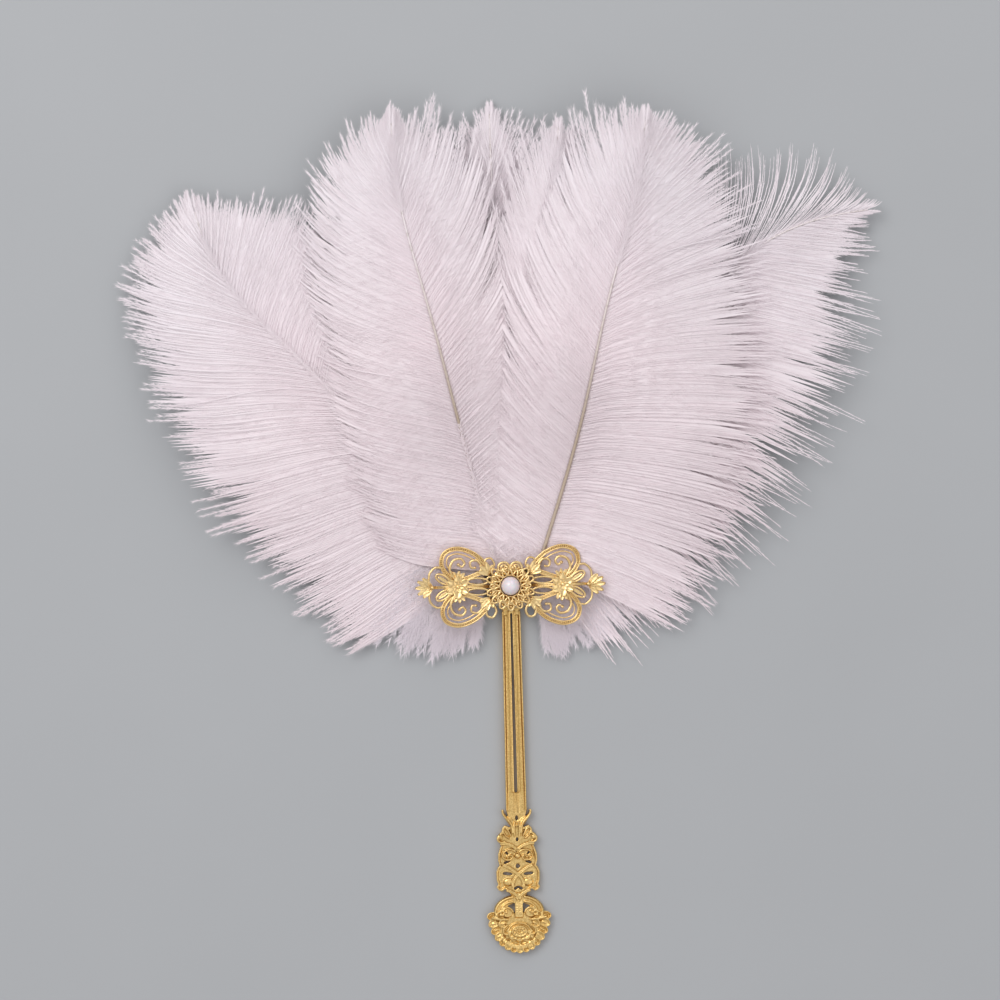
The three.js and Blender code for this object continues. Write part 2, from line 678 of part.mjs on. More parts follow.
// The winding round the tang and the quills, as one flat band.
function addBinding() {
  const top = -binding.foot + binding.width;
  const sides = plumes.map((plume) => {
    const heading = THREE.MathUtils.degToRad(plume.shaftAngles[0]);
    const middle = plume.quillAcross + (top + quill.foot) / Math.tan(heading);
    const half = quill.radius / Math.sin(heading);
    return [middle - half, middle + half];
  });
  const left = Math.min(-tines.topWidth / 2, ...sides.map((pair) => pair[0])) - seat;
  const right = Math.max(tines.topWidth / 2, ...sides.map((pair) => pair[1])) + seat;
  const frameShape = (grow) => {
    const shape = new THREE.Shape();
    const bottom = bindingBottom + binding.thread - grow;
    const height = bindingInnerTop - bindingBottom - binding.thread + 2 * grow;
    const corner = binding.thread * binding.cornerShare + grow;
    const x = left - grow;
    const width = right - left + 2 * grow;
    shape.moveTo(x + corner, bottom);
    shape.lineTo(x + width - corner, bottom);
    shape.quadraticCurveTo(x + width, bottom, x + width, bottom + corner);
    shape.lineTo(x + width, bottom + height - corner);
    shape.quadraticCurveTo(x + width, bottom + height, x + width - corner, bottom + height);
    shape.lineTo(x + corner, bottom + height);
    shape.quadraticCurveTo(x, bottom + height, x, bottom + height - corner);
    shape.lineTo(x, bottom + corner);
    shape.quadraticCurveTo(x, bottom, x + corner, bottom);
    return shape;
  };
  const shape = frameShape(binding.thread);
  shape.holes.push(frameShape(0));
  const geometry = new THREE.ExtrudeGeometry(shape, {
    depth: binding.width, bevelEnabled: false, curveSegments: 2,
  });
  geometry.rotateX(Math.PI / 2);
  geometry.translate(0, top, 0);
  addPiece('quill_binding', toGeometry(toSolid(geometry)), 'thread');
}

function addPad() {
  const shape = ellipse(0, 0, pad.radius, pad.radius, 0, steps.round);
  addPiece('front_pad', toGeometry(slab(shape, padBottom, padBottom + pad.thickness)), 'felt');
}

// Wires of the right wing: points as shares of its reach and height.
const lobeWireShares = [
  [0.24, 0.46], [0.36, 0.8], [0.54, 0.965], [0.68, 0.86],
  [0.715, 0.56], [0.64, 0.27], [0.54, 0.17], [0.38, 0.28],
];
const scrollWireShares = [[0.58, 0.2], [0.63, 0.44], [0.59, 0.68], [0.5, 0.68], [0.49, 0.54]];
const tieWireShares = [[0.85, 0.08], [0.845, 0.34], [0.78, 0.5], [0.7, 0.48]];
const ovalShares = { across: 0.34, up: 0.13, wide: 0.105, tall: 0.085 };
const flowerShares = { across: 0.55, ring: 0.075, wide: 0.052, tall: 0.034 };
const leafShares = { across: 0.705, up: 0.2, wide: 0.078, tall: 0.085, angle: 33 };
const budShares = [
  { across: 0.91, up: 0, wide: 0.09, tall: 0.075, angle: 0 },
  { across: 0.9, up: 0.13, wide: 0.08, tall: 0.065, angle: 22 },
  { across: 0.9, up: -0.13, wide: 0.08, tall: 0.065, angle: -22 },
];
const knotRadiusShare = 0.05;
const flowerPetals = 5;

// Outlines of one wing, with side 1 or -1 across the fan.
function wingOutlines(side) {
  const at = ([x, y], up = 1) => [side * x * wing.reach, up * y * wing.height];
  const strip = (shares, up, width, closed, count) => wireStrip(
    shares.map((share) => at(share, up)), width, closed, count,
  );
  const outlines = [];
  [1, -1].forEach((up) => {
    outlines.push(strip(lobeWireShares, up, wing.wire, true, steps.lobe));
    outlines.push(strip(scrollWireShares, up, wing.thinWire, false, steps.small));
    outlines.push(strip(tieWireShares, up, wing.thinWire, false, steps.small / 2));
    const [ovalX, ovalY] = at([ovalShares.across, ovalShares.up], up);
    outlines.push(ellipseRing(
      ovalX, ovalY, wing.reach * ovalShares.wide, wing.height * ovalShares.tall, 0, wing.thinWire,
    ));
    const [leafX, leafY] = at([leafShares.across, leafShares.up], up);
    outlines.push(ellipseRing(
      leafX, leafY, wing.reach * leafShares.wide, wing.height * leafShares.tall,
      side * up * leafShares.angle, wing.thinWire,
    ));
    const [lobeX, lobeY] = at(lobeWireShares[0], up);
    const knotRadius = wing.reach * knotRadiusShare;
    const knotY = lobeY + up * (knotRadius + wing.wire / 2);
    outlines.push(ellipseRing(lobeX, knotY, knotRadius, knotRadius, 0, wing.thinWire));
  });
  budShares.forEach((bud) => {
    const [x, y] = at([bud.across, bud.up]);
    outlines.push(ellipse(
      x, y, wing.reach * bud.wide, wing.height * bud.tall, side * bud.angle, steps.small,
    ));
  });
  const flowerX = side * wing.reach * flowerShares.across;
  for (let i = 0; i < flowerPetals; i += 1) {
    const angle = (2 * Math.PI * (i + 1 / 2)) / flowerPetals;
    const ring = wing.reach * flowerShares.ring;
    outlines.push(ellipse(
      flowerX + side * ring * Math.cos(angle), ring * Math.sin(angle),
      wing.reach * flowerShares.wide, wing.reach * flowerShares.tall,
      side * THREE.MathUtils.radToDeg(angle), steps.small,
    ));
  }
  outlines.push(polygon([
    [0, wing.thinWire / 2], [0, -wing.thinWire / 2],
    [side * wing.reach * budShares[0].across, -wing.thinWire / 2],
    [side * wing.reach * budShares[0].across, wing.thinWire / 2],
  ]));
  return outlines;
}

function addButterfly() {
  const top = plateBottom + wing.thickness;
  const outlines = [1, -1].flatMap((side) => wingOutlines(side));
  outlines.push(ellipse(0, 0, hub.radius, hub.radius, 0, steps.round));
  const beads = mirrored((side) => slab(
    ellipse(side * wing.reach * flowerShares.across, 0, wing.bead, wing.bead, 0, steps.small),
    plateBottom,
    top + wing.bead / 2,
  ));
  const solid = joinAll([...outlines.map((shape) => slab(shape, plateBottom, top)), ...beads]);
  addPiece('butterfly', toGeometry(solid), 'gilt');
}

const rosetteLoops = 8;
const rosetteWaves = 12;

// The rosette round the cup: a wavy ring with a row of wire loops outside it.
function addRosette() {
  const top = rosetteBottom + rosette.thickness;
  const hole = cupRadius + seat;
  const count = rosetteWaves * steps.waves;
  const ring = scallopedDisc(hole + rosette.ringWidth, rosette.wave, rosetteWaves, count);
  ring.holes.push(ellipse(0, 0, hole, hole, 0, steps.round));
  const loopRing = rosette.radius - rosette.loop;
  const loops = Array.from({ length: rosetteLoops }, (_, i) => {
    const angle = (2 * Math.PI * (i + 1 / 2)) / rosetteLoops;
    const radius = rosette.loop - rosette.wire / 2;
    return slab(ellipseRing(
      loopRing * Math.cos(angle), loopRing * Math.sin(angle), radius, radius, 0, rosette.wire,
    ), rosetteBottom, top);
  });
  const solid = joinAll([slab(ring, rosetteBottom, top), ...loops]);
  const bore = slab(ellipse(0, 0, hole, hole, 0, steps.round), rosetteBottom - overrun, top + overrun);
  addPiece('rosette', toGeometry(solid.subtract(bore)), 'gilt');
}

// Lathed piece from a profile of radius and height that starts and ends on the axis.
function lathe(profile) {
  const geometry = new THREE.LatheGeometry(profile.map(([r, z]) => new THREE.Vector2(r, z)), steps.pearl);
  geometry.rotateX(Math.PI / 2);
  return toGeometry(toSolid(geometry));
}

function addCup() {
  const rim = rosetteBottom + cup.height;
  const floor = rosetteBottom + cup.floor;
  addPiece('pearl_cup', lathe([
    [0, rosetteBottom], [cupRadius, rosetteBottom], [cupRadius, rim],
    [cupRadius - cup.wall, rim], [cupRadius - cup.wall, floor], [0, floor],
  ]), 'gilt');
}

function addPearl() {
  const radius = pearl.diameter / 2;
  const profile = [[0, pearlBottom], [radius, pearlBottom]];
  const rise = steps.small;
  for (let i = 1; i <= rise; i += 1) {
    const angle = (Math.PI / 2) * (i / rise);
    profile.push([i < rise ? radius * Math.cos(angle) : 0, pearlBottom + pearl.height * Math.sin(angle)]);
  }
  addPiece('pearl', lathe(profile), 'pearl');
}

addHandle();
addBackCover();
addBinding();
plumes.forEach(addPlume);
addPad();
addButterfly();
addRosette();
addCup();
addPearl();

export default fan;
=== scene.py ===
"""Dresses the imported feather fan: ostrich plumes, a gilt handle, and a filigree butterfly with a pearl."""

import logging
import math
from dataclasses import dataclass, field
from enum import Enum

import bmesh
import bpy
import numpy as np
from mathutils import Matrix, Vector


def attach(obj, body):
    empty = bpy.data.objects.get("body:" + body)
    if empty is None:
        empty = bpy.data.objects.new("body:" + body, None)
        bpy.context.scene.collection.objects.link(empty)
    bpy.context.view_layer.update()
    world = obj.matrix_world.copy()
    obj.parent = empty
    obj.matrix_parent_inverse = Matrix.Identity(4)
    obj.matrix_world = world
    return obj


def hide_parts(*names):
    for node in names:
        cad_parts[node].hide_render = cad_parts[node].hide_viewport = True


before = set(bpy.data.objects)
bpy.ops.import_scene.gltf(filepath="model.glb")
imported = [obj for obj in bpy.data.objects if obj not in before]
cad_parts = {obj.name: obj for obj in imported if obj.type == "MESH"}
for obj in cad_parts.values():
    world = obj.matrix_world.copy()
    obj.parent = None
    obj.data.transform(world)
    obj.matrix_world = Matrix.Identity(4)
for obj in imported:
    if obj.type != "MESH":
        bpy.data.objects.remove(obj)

LOG = logging.getLogger("feather_fan")
BODY = "root"
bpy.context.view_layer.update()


class Section(Enum):
    """Cross-sections of strands, as points in shares of the strand's radius."""

    BARB = ((1.0, 0.0), (0.0, 0.4), (-1.0, 0.0))
    WEB = ((1.0, 0.0), (0.0, 0.04), (-1.0, 0.0))
    BAND = ((1.0, 0.0), (0.0, 0.22), (-1.0, 0.0), (0.0, -0.22))
    HAIR = ((1.0, 0.0), (0.0, 0.3), (-1.0, 0.0))
    WIRE = tuple((math.cos(math.tau * i / 10), math.sin(math.tau * i / 10)) for i in range(10))


class Side(Enum):
    """Sides of a shaft, seen from the front with the plume's tip up."""

    LEFT = 1
    RIGHT = -1


def ease(value: np.ndarray, start: float, span: float) -> np.ndarray:
    """Smooth step from 0 to 1.

    Args:
        value: Places to look up.
        start: Where the step starts.
        span: How far the step runs.

    Returns:
        The step at each place.
    """
    t = np.clip((value - start) / span, 0.0, 1.0)
    return t * t * (3.0 - 2.0 * t)


def along(values: tuple[float, ...], share: np.ndarray) -> np.ndarray:
    """Smooth curve through evenly spaced values.

    Args:
        values: The values from share 0 to share 1.
        share: Where to read the curve.

    Returns:
        The curve at each share.
    """
    table = np.asarray(values, float)
    place = np.clip(share, 0.0, 1.0) * (len(table) - 1)
    i = np.minimum(place.astype(int), len(table) - 2)
    t = place - i
    slope_in = (table[i + 1] - table[np.maximum(i - 1, 0)]) / 2.0
    slope_out = (table[np.minimum(i + 2, len(table) - 1)] - table[i]) / 2.0
    t2 = t * t
    t3 = t2 * t
    near = (2.0 * t3 - 3.0 * t2 + 1.0) * table[i] + (t3 - 2.0 * t2 + t) * slope_in
    return near + (3.0 * t2 - 2.0 * t3) * table[i + 1] + (t3 - t2) * slope_out


def way_at(turn: float) -> np.ndarray:
    """Direction of an angle.

    Args:
        turn: The angle in degrees, from +X round to +Y.

    Returns:
        A vector of length 1.
    """
    return np.array([math.cos(math.radians(turn)), math.sin(math.radians(turn))])


def closed_mesh(mesh: bpy.types.Mesh, gap: float = 1e-7) -> bpy.types.Mesh:
    """Welds a mesh's doubles and turns its faces outwards.

    Args:
        mesh: The mesh, changed in place.
        gap: How near two points are to be one.

    Returns:
        The same mesh.
    """
    bm = bmesh.new()
    bm.from_mesh(mesh)
    bmesh.ops.remove_doubles(bm, verts=bm.verts, dist=gap)
    bmesh.ops.recalc_face_normals(bm, faces=bm.faces)
    bm.to_mesh(mesh)
    bm.free()
    return mesh


def link(name: str, mesh: bpy.types.Mesh) -> bpy.types.Object:
    """Puts a mesh into the scene as a new object.

    Args:
        name: The object's name.
        mesh: Its mesh.

    Returns:
        The object.
    """
    piece = bpy.data.objects.new(name, mesh)
    bpy.context.scene.collection.objects.link(piece)
    return piece


def settle(piece: str, node: str, mesh: bpy.types.Mesh, finish: bpy.types.Material) -> None:
    """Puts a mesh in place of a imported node.

    Args:
        piece: The new piece's name.
        node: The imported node's name.
        mesh: The mesh.
        finish: Its material.
    """
    made = link(piece, mesh)
    mesh.materials.clear()
    mesh.materials.append(finish)
    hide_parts(node)
    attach(made, BODY)
    LOG.info("%s: %d faces", made.name, len(mesh.polygons))


def strand_mesh(name: str, section: Section, points: list[np.ndarray], radii: list[np.ndarray],
                tilt: float = 0.0) -> bpy.types.Mesh:
    """Closed tubes of one section along many open paths.

    Args:
        name: The mesh's name.
        section: The cross-section.
        points: One array of points for each strand.
        radii: One array of radii for each strand.
        tilt: How far the sections are turned round their paths, in degrees.

    Returns:
        The mesh of all strands.
    """
    outline = bpy.data.curves.new(f"{name}_section", "CURVE")
    outline.dimensions = "2D"
    loop = outline.splines.new("POLY")
    loop.points.add(len(section.value) - 1)
    for point, (x, y) in zip(loop.points, section.value):
        point.co = (x, y, 0.0, 1.0)
    loop.use_cyclic_u = True
    profile = bpy.data.objects.new(f"{name}_section", outline)
    bpy.context.scene.collection.objects.link(profile)
    curve = bpy.data.curves.new(name, "CURVE")
    curve.dimensions = "3D"
    curve.twist_mode = "Z_UP"
    curve.bevel_mode = "OBJECT"
    curve.bevel_object = profile
    curve.use_fill_caps = True
    for path, radius in zip(points, radii):
        spline = curve.splines.new("POLY")
        spline.points.add(len(path) - 1)
        spline.points.foreach_set("co", np.column_stack([path, np.ones(len(path))]).ravel())
        spline.points.foreach_set("radius", radius)
        spline.points.foreach_set("tilt", np.full(len(path), math.radians(tilt)))
    strands = bpy.data.objects.new(name, curve)
    bpy.context.scene.collection.objects.link(strands)
    depsgraph = bpy.context.evaluated_depsgraph_get()
    mesh = bpy.data.meshes.new_from_object(strands.evaluated_get(depsgraph))
    for leftover in (strands, profile):
        data = leftover.data
        bpy.data.objects.remove(leftover)
        bpy.data.curves.remove(data)
    return closed_mesh(mesh)


def joined_mesh(name: str, meshes: list[bpy.types.Mesh]) -> bpy.types.Mesh:
    """Puts several meshes into one.

    Args:
        name: The new mesh's name.
        meshes: The meshes to join, which are removed.

    Returns:
        The joined mesh.
    """
    bm = bmesh.new()
    for mesh in meshes:
        bm.from_mesh(mesh)
        bpy.data.meshes.remove(mesh)
    whole = bpy.data.meshes.new(name)
    bm.to_mesh(whole)
    bm.free()
    return whole


class Shader:
    """A node material with one Principled shader."""

    def __init__(self, name: str) -> None:
        """Makes the empty material.

        Args:
            name: The material's name.
        """
        self.material = bpy.data.materials.new(name)
        self.material.use_nodes = True
        self.nodes = self.material.node_tree.nodes
        self.links = self.material.node_tree.links
        self.surface = self.nodes["Principled BSDF"]

    def node(self, kind: str, inputs: dict | None = None, **settings: object) -> bpy.types.Node:
        """Adds a node.

        Args:
            kind: The node's type.
            inputs: Values or output sockets by input name or number.
            settings: Attributes of the node.

        Returns:
            The node.
        """
        made = self.nodes.new(kind)
        for key, value in settings.items():
            setattr(made, key, value)
        for key, value in (inputs or {}).items():
            if isinstance(value, bpy.types.NodeSocket):
                self.links.new(value, made.inputs[key])
            else:
                made.inputs[key].default_value = value
        return made

    def place(self) -> bpy.types.NodeSocket:
        """Returns the place on the piece."""
        return self.node("ShaderNodeTexCoord").outputs["Object"]

    def ramp(self, factor: bpy.types.NodeSocket, stops: list[tuple[float, tuple]]) -> bpy.types.NodeSocket:
        """Adds a colour ramp.

        Args:
            factor: What the ramp reads.
            stops: Pairs of place and colour.

        Returns:
            The ramp's colour.
        """
        made = self.node("ShaderNodeValToRGB", {"Fac": factor})
        elements = made.color_ramp.elements
        while len(elements) < len(stops):
            elements.new(0.5)
        for element, (place, colour) in zip(elements, stops):
            element.position = place
            element.color = (*colour, 1.0)
        return made.outputs["Color"]

    def mix(self, factor: object, first: object, second: object, blend: str = "MIX") -> bpy.types.NodeSocket:
        """Mixes two colours.

        Args:
            factor: A number or a socket.
            first: The first colour or socket.
            second: The second colour or socket.
            blend: The way of mixing.

        Returns:
            The mixed colour.
        """
        made = self.node("ShaderNodeMix", data_type="RGBA", blend_type=blend)
        for slot, value in ((0, factor), (6, first), (7, second)):
            if isinstance(value, bpy.types.NodeSocket):
                self.links.new(value, made.inputs[slot])
            else:
                made.inputs[slot].default_value = value if slot == 0 else (*value, 1.0)
        return made.outputs[2]

    def noise(self, scale: float, detail: float = 3.0) -> bpy.types.NodeSocket:
        """Adds a cloudy noise over the piece.

        Args:
            scale: Waves to the metre.
            detail: How many finer layers it has.

        Returns:
            The noise from 0 to 1.
        """
        made = self.node("ShaderNodeTexNoise", {"Vector": self.place(), "Scale": scale, "Detail": detail})
        return made.outputs["Fac"]

    def reach(self, first: float, last: float) -> bpy.types.NodeSocket:
        """Grades the distance from the origin.

        Args:
            first: The distance in metres that gives 0.
            last: The distance that gives 1.

        Returns:
            The share from 0 to 1.
        """
        far = self.node("ShaderNodeVectorMath", {0: self.place()}, operation="LENGTH").outputs["Value"]
        inputs = {"Value": far, "From Min": first, "From Max": last}
        return self.node("ShaderNodeMapRange", inputs).outputs["Result"]

    def paint(self, base: bpy.types.NodeSocket, values: dict[str, float]) -> None:
        """Sets the surface.

        Args:
            base: The base colour.
            values: Uniform values by the names of their inputs.
        """
        self.links.new(base, self.surface.inputs["Base Color"])
        for key, value in values.items():
            self.surface.inputs[key].default_value = value

    def bump(self, height: bpy.types.NodeSocket, strength: float, distance: float) -> None:
        """Raises the surface by a height.

        Args:
            height: The height from 0 to 1.
            strength: How much of it counts.
            distance: The depth in metres.
        """
        made = self.node("ShaderNodeBump", {"Height": height, "Strength": strength, "Distance": distance})
        self.links.new(made.outputs["Normal"], self.surface.inputs["Normal"])


@dataclass(frozen=True)
class FeatherFinish:
    """White barbs, warmer near the brooch and bluer at the edge."""

    inner: tuple = (0.92, 0.81, 0.845)
    middle: tuple = (0.91, 0.80, 0.835)
    edge: tuple = (0.90, 0.83, 0.87)
    inner_reach: float = 0.05
    edge_reach: float = 0.2
    shade: float = 0.9
    roughness: float = 0.8
    sheen: float = 0.2
    specular: float = 0.25
    clouds: float = 55.0
    grain: float = 1600.0
    grain_depth: float = 0.0002

    def make(self, name: str) -> bpy.types.Material:
        """Makes the material.

        Args:
            name: The material's name.

        Returns:
            The material.
        """
        shader = Shader(name)
        share = shader.reach(self.inner_reach, self.edge_reach)
        base = shader.ramp(share, [(0.0, self.inner), (0.5, self.middle), (1.0, self.edge)])
        island = shader.node("ShaderNodeNewGeometry").outputs["Random Per Island"]
        darker = tuple(self.shade * c for c in self.middle)
        varied = shader.mix(island, base, darker)
        shader.paint(shader.mix(shader.noise(self.clouds), varied, base), {
            "Roughness": self.roughness, "Sheen Weight": self.sheen, "Specular IOR Level": self.specular,
        })
        shader.bump(shader.noise(self.grain, 4.0), 0.5, self.grain_depth)
        return shader.material


@dataclass(frozen=True)
class ShaftFinish:
    """Horn of the shafts, grey tan at the quill and as pale as the barbs at the tip."""

    quill: tuple = (0.54, 0.43, 0.33)
    tip: tuple = (0.84, 0.76, 0.77)
    grain: tuple = (0.34, 0.27, 0.20)
    fade_from: float = 0.085
    fade_to: float = 0.17
    streaks: float = 420.0
    streak_share: float = 0.6
    roughness: float = 0.42
    grain_depth: float = 0.0002

    def make(self, name: str) -> bpy.types.Material:
        """Makes the material.

        Args:
            name: The material's name.

        Returns:
            The material.
        """
        shader = Shader(name)
        base = shader.ramp(shader.reach(self.fade_from, self.fade_to), [(0.0, self.quill), (1.0, self.tip)])
        streaks = shader.noise(self.streaks)
        lines = shader.ramp(streaks, [(0.5, (0, 0, 0)), (0.8, (self.streak_share,) * 3)])
        shader.paint(shader.mix(lines, base, self.grain), {"Roughness": self.roughness})
        shader.bump(streaks, 0.15, self.grain_depth)
        return shader.material


@dataclass(frozen=True)
class GiltFinish:
    """Bright gilt metal with shade painted darker into its hollows, partly standing for tarnish, and a little
    worn in patches.
    """

    body: tuple = (0.89, 0.58, 0.20)
    bright: tuple = (0.98, 0.72, 0.32)
    # Colour of the painted shade in the hollows, and of the grain's specks.
    dark: tuple = (0.46, 0.26, 0.06)
    roughness: float = 0.27
    grain: float = 1500.0
    grain_depth: float = 0.0002
    # How far and how strongly the painted shade in the hollows reaches.
    painted_shade_reach: float = 0.0012
    painted_shade_span: tuple = (0.45, 0.95)
    speckle: float = 0.45
    clouds: float = 130.0
    wear: float = 260.0
    wear_span: tuple = (-0.06, 0.12)

    def make(self, name: str) -> bpy.types.Material:
        """Makes the material.

        Args:
            name: The material's name.

        Returns:
            The material.
        """
        shader = Shader(name)
        # Painted shade: an ambient-occlusion mask darkens the colour in hollows and creases, partly standing
        # for tarnish.
        near = {"Distance": self.painted_shade_reach}
        painted_shade = shader.node("ShaderNodeAmbientOcclusion", near, samples=8).outputs["AO"]
        cloudy = shader.mix(shader.noise(self.clouds), self.body, self.bright)
        low, high = self.painted_shade_span
        shaded = shader.mix(shader.ramp(painted_shade, [(low, (1, 1, 1)), (high, (0, 0, 0))]), cloudy, self.dark)
        grain = shader.noise(self.grain, 2.0)
        specks = shader.ramp(grain, [(0.4, (self.speckle,) * 3), (0.6, (0, 0, 0))])
        shaded = shader.mix(specks, shaded, self.dark)
        shader.paint(shaded, {"Metallic": 1.0})
        smooth, worn = (self.roughness + change for change in self.wear_span)
        rough = shader.node("ShaderNodeMapRange", {
            "Value": shader.noise(self.wear), "To Min": smooth, "To Max": worn,
        }).outputs["Result"]
        shader.links.new(rough, shader.surface.inputs["Roughness"])
        shader.bump(grain, 0.5, self.grain_depth)
        return shader.material


@dataclass(frozen=True)
class Lie:
    """How the plume layers lie over the table and over each other."""

    first: float = 0.00125
    near_gap: float = 0.0017
    far_gap: float = 0.006
    spread_from: float = 0.048
    spread_over: float = 0.07
    arch_height: float = 0.015
    arch_from: float = 0.028
    arch_to: float = 0.232
    quill_hold: float = 0.016
    quill_ease: float = 0.012
    edge_from: float = 50.0
    edge_to: float = 100.0
    edge_share: float = 0.2
    lower_quill: float = 0.00445
    upper_quill: float = 0.00665

    def kept(self, x: np.ndarray, y: np.ndarray) -> np.ndarray:
        """How much of the fan's lift is kept at a place.

        Args:
            x: Places across the fan.
            y: Places along the fan.

        Returns:
            Shares from the edge share to 1.
        """
        off = np.degrees(np.arccos(np.clip(y / np.maximum(np.hypot(x, y), 0.0003), -1.0, 1.0)))
        return 1.0 - (1.0 - self.edge_share) * ease(off, self.edge_from, self.edge_to - self.edge_from)

    def gap(self, x: np.ndarray, y: np.ndarray) -> np.ndarray:
        """Space between two layers at a place.

        Args:
            x: Places across the fan.
            y: Places along the fan.

        Returns:
            The space in metres.
        """
        spread = ease(np.hypot(x, y), self.spread_from, self.spread_over)
        return self.near_gap + (self.far_gap - self.near_gap) * spread * self.kept(x, y)

    def height(self, layer: int, lower: bool, x: np.ndarray, y: np.ndarray) -> np.ndarray:
        """Height of a layer's middle over the table.

        Args:
            layer: The layer's number from the back.
            lower: Whether its quill lies in the lower row.
            x: Places across the fan.
            y: Places along the fan.

        Returns:
            The heights in metres.
        """
        reach = np.hypot(x, y)
        swing = np.clip((reach - self.arch_from) / (self.arch_to - self.arch_from), 0.0, 1.0)
        rise = self.arch_height * np.sin(np.pi * swing) * self.kept(x, y)
        spread = self.first + rise + layer * self.gap(x, y)
        held = self.lower_quill if lower else self.upper_quill
        return held + (spread - held) * ease(reach, self.quill_hold, self.quill_ease)


@dataclass(frozen=True)
class BarbLook:
    """How the barbs of a vane are made up."""

    barbs: int = 170
    half_width: float = 0.0003
    point: float = 3.0
    webs: int = 300
    web_half_width: float = 0.0015
    web_reach: float = 0.95
    web_tilt: float = 7.0
    hairs: int = 30000
    hair_length: float = 0.0065
    hair_fade: float = 0.5
    hair_radius: float = 0.00009
    hair_bias: float = 0.55
    root_share: float = 0.15
    hair_angle: float = 42.0
    tip_angle: float = 12.0
    rise: float = 1.5
    rise_spread: float = 5.0
    clump: int = 2
    pull: float = 0.22
    pull_from: float = 0.6
    scatter: float = 0.5
    stray_share: float = 0.03
    wave: float = 1.6
    fray: float = 0.0
    lift: float = 0.5
    ridge: float = 0.00035
    ridge_pitch: float = 0.004


BLENDED = BarbLook()
FRAYED = BarbLook(web_reach=0.92, fray=0.2, tip_angle=18.0, hair_fade=0.4)
HIDDEN = BarbLook(barbs=140, webs=220, hairs=15000, web_reach=0.88, fray=0.12, tip_angle=20.0)
SPIKY = BarbLook(
    barbs=200, half_width=0.0004, web_reach=0.88, hair_angle=32.0, tip_angle=7.0, hair_fade=0.75, clump=5,
    pull=0.6, pull_from=0.7, scatter=1.2, wave=2.2,
)
WOOLLY = BarbLook(
    barbs=220, half_width=0.0004, point=6.0, web_reach=0.97, hairs=38000, hair_length=0.0055,
    hair_bias=0.42, hair_angle=46.0, tip_angle=22.0, clump=4, pull_from=0.75, scatter=0.9, stray_share=0.02,
)
DOWNY = BarbLook(
    barbs=110, half_width=0.0002, webs=30, web_reach=0.4, hairs=25000, hair_length=0.007, hair_fade=0.35,
    hair_bias=0.6, hair_angle=38.0, tip_angle=26.0, rise=6.0, rise_spread=12.0, clump=8, pull=0.5,
    pull_from=0.3, scatter=3.0, wave=12.0,
)
TUFTED = BarbLook(
    barbs=110, half_width=0.0002, webs=16, web_reach=0.35, hairs=22000, hair_fade=0.4, hair_bias=0.6,
    hair_angle=36.0, tip_angle=24.0, rise=6.0, rise_spread=12.0, clump=10, pull=0.65, pull_from=0.2,
    scatter=3.5, wave=8.0,
)
SPARSE = BarbLook(
    barbs=240, webs=120, web_half_width=0.0008, web_reach=0.5, hairs=9000, hair_length=0.004, hair_bias=0.8,
    hair_angle=16.0, tip_angle=6.0, clump=3, pull=0.5, scatter=1.4, stray_share=0.02,
)


@dataclass(frozen=True)
class Barbs:
    """The barbs on one side of a shaft. Tables run at even steps from the plume's root to its tip."""

    longest: float
    length_shares: tuple[float, ...]
    root_angles: tuple[float, ...]
    curl_angles: tuple[float, ...]
    look: BarbLook = BLENDED
    flick: float = 0.0
    droop: float = 0.75


class Shaft:
    """The line that a plume's shaft follows in the plane of the fan."""

    PLACES = 324
    VANE_ROOT = 0.037
    QUILL_RADIUS = 0.00095
    ROOT_RADIUS = 0.00085
    TIP_RADIUS = 0.00035
    QUILL_FOOT = 0.0102

    def __init__(self, quill_across: float, length: float, angles: tuple[float, ...]) -> None:
        """Traces the line.

        Args:
            quill_across: Where the quill's cut end lies across the fan.
            length: The shaft's length.
            angles: Its headings in degrees, at even steps.
        """
        self.length = length
        share = np.linspace(0.0, 1.0, self.PLACES + 1)
        self.headings = np.radians(along(angles, share))
        step = length / self.PLACES
        self.x = quill_across + step * np.concatenate([[0.0], np.cumsum(np.cos(self.headings[:-1]))])
        self.y = -self.QUILL_FOOT + step * np.concatenate([[0.0], np.cumsum(np.sin(self.headings[:-1]))])

    def at(self, distance: np.ndarray) -> tuple[np.ndarray, np.ndarray, np.ndarray, np.ndarray]:
        """Reads the line.

        Args:
            distance: Distances from the quill's end.

        Returns:
            Places across and along the fan, headings in radians, and radii.
        """
        share = np.clip(distance / self.length, 0.0, 1.0)
        place = share * self.PLACES
        grid = np.arange(self.PLACES + 1)
        taper = ease(distance, self.VANE_ROOT / 2.0, self.VANE_ROOT / 2.0)
        plain = self.ROOT_RADIUS + (self.TIP_RADIUS - self.ROOT_RADIUS) * share
        radius = self.QUILL_RADIUS + (plain - self.QUILL_RADIUS) * taper
        x, y, heading = (np.interp(place, grid, line) for line in (self.x, self.y, self.headings))
        return x, y, heading, radius


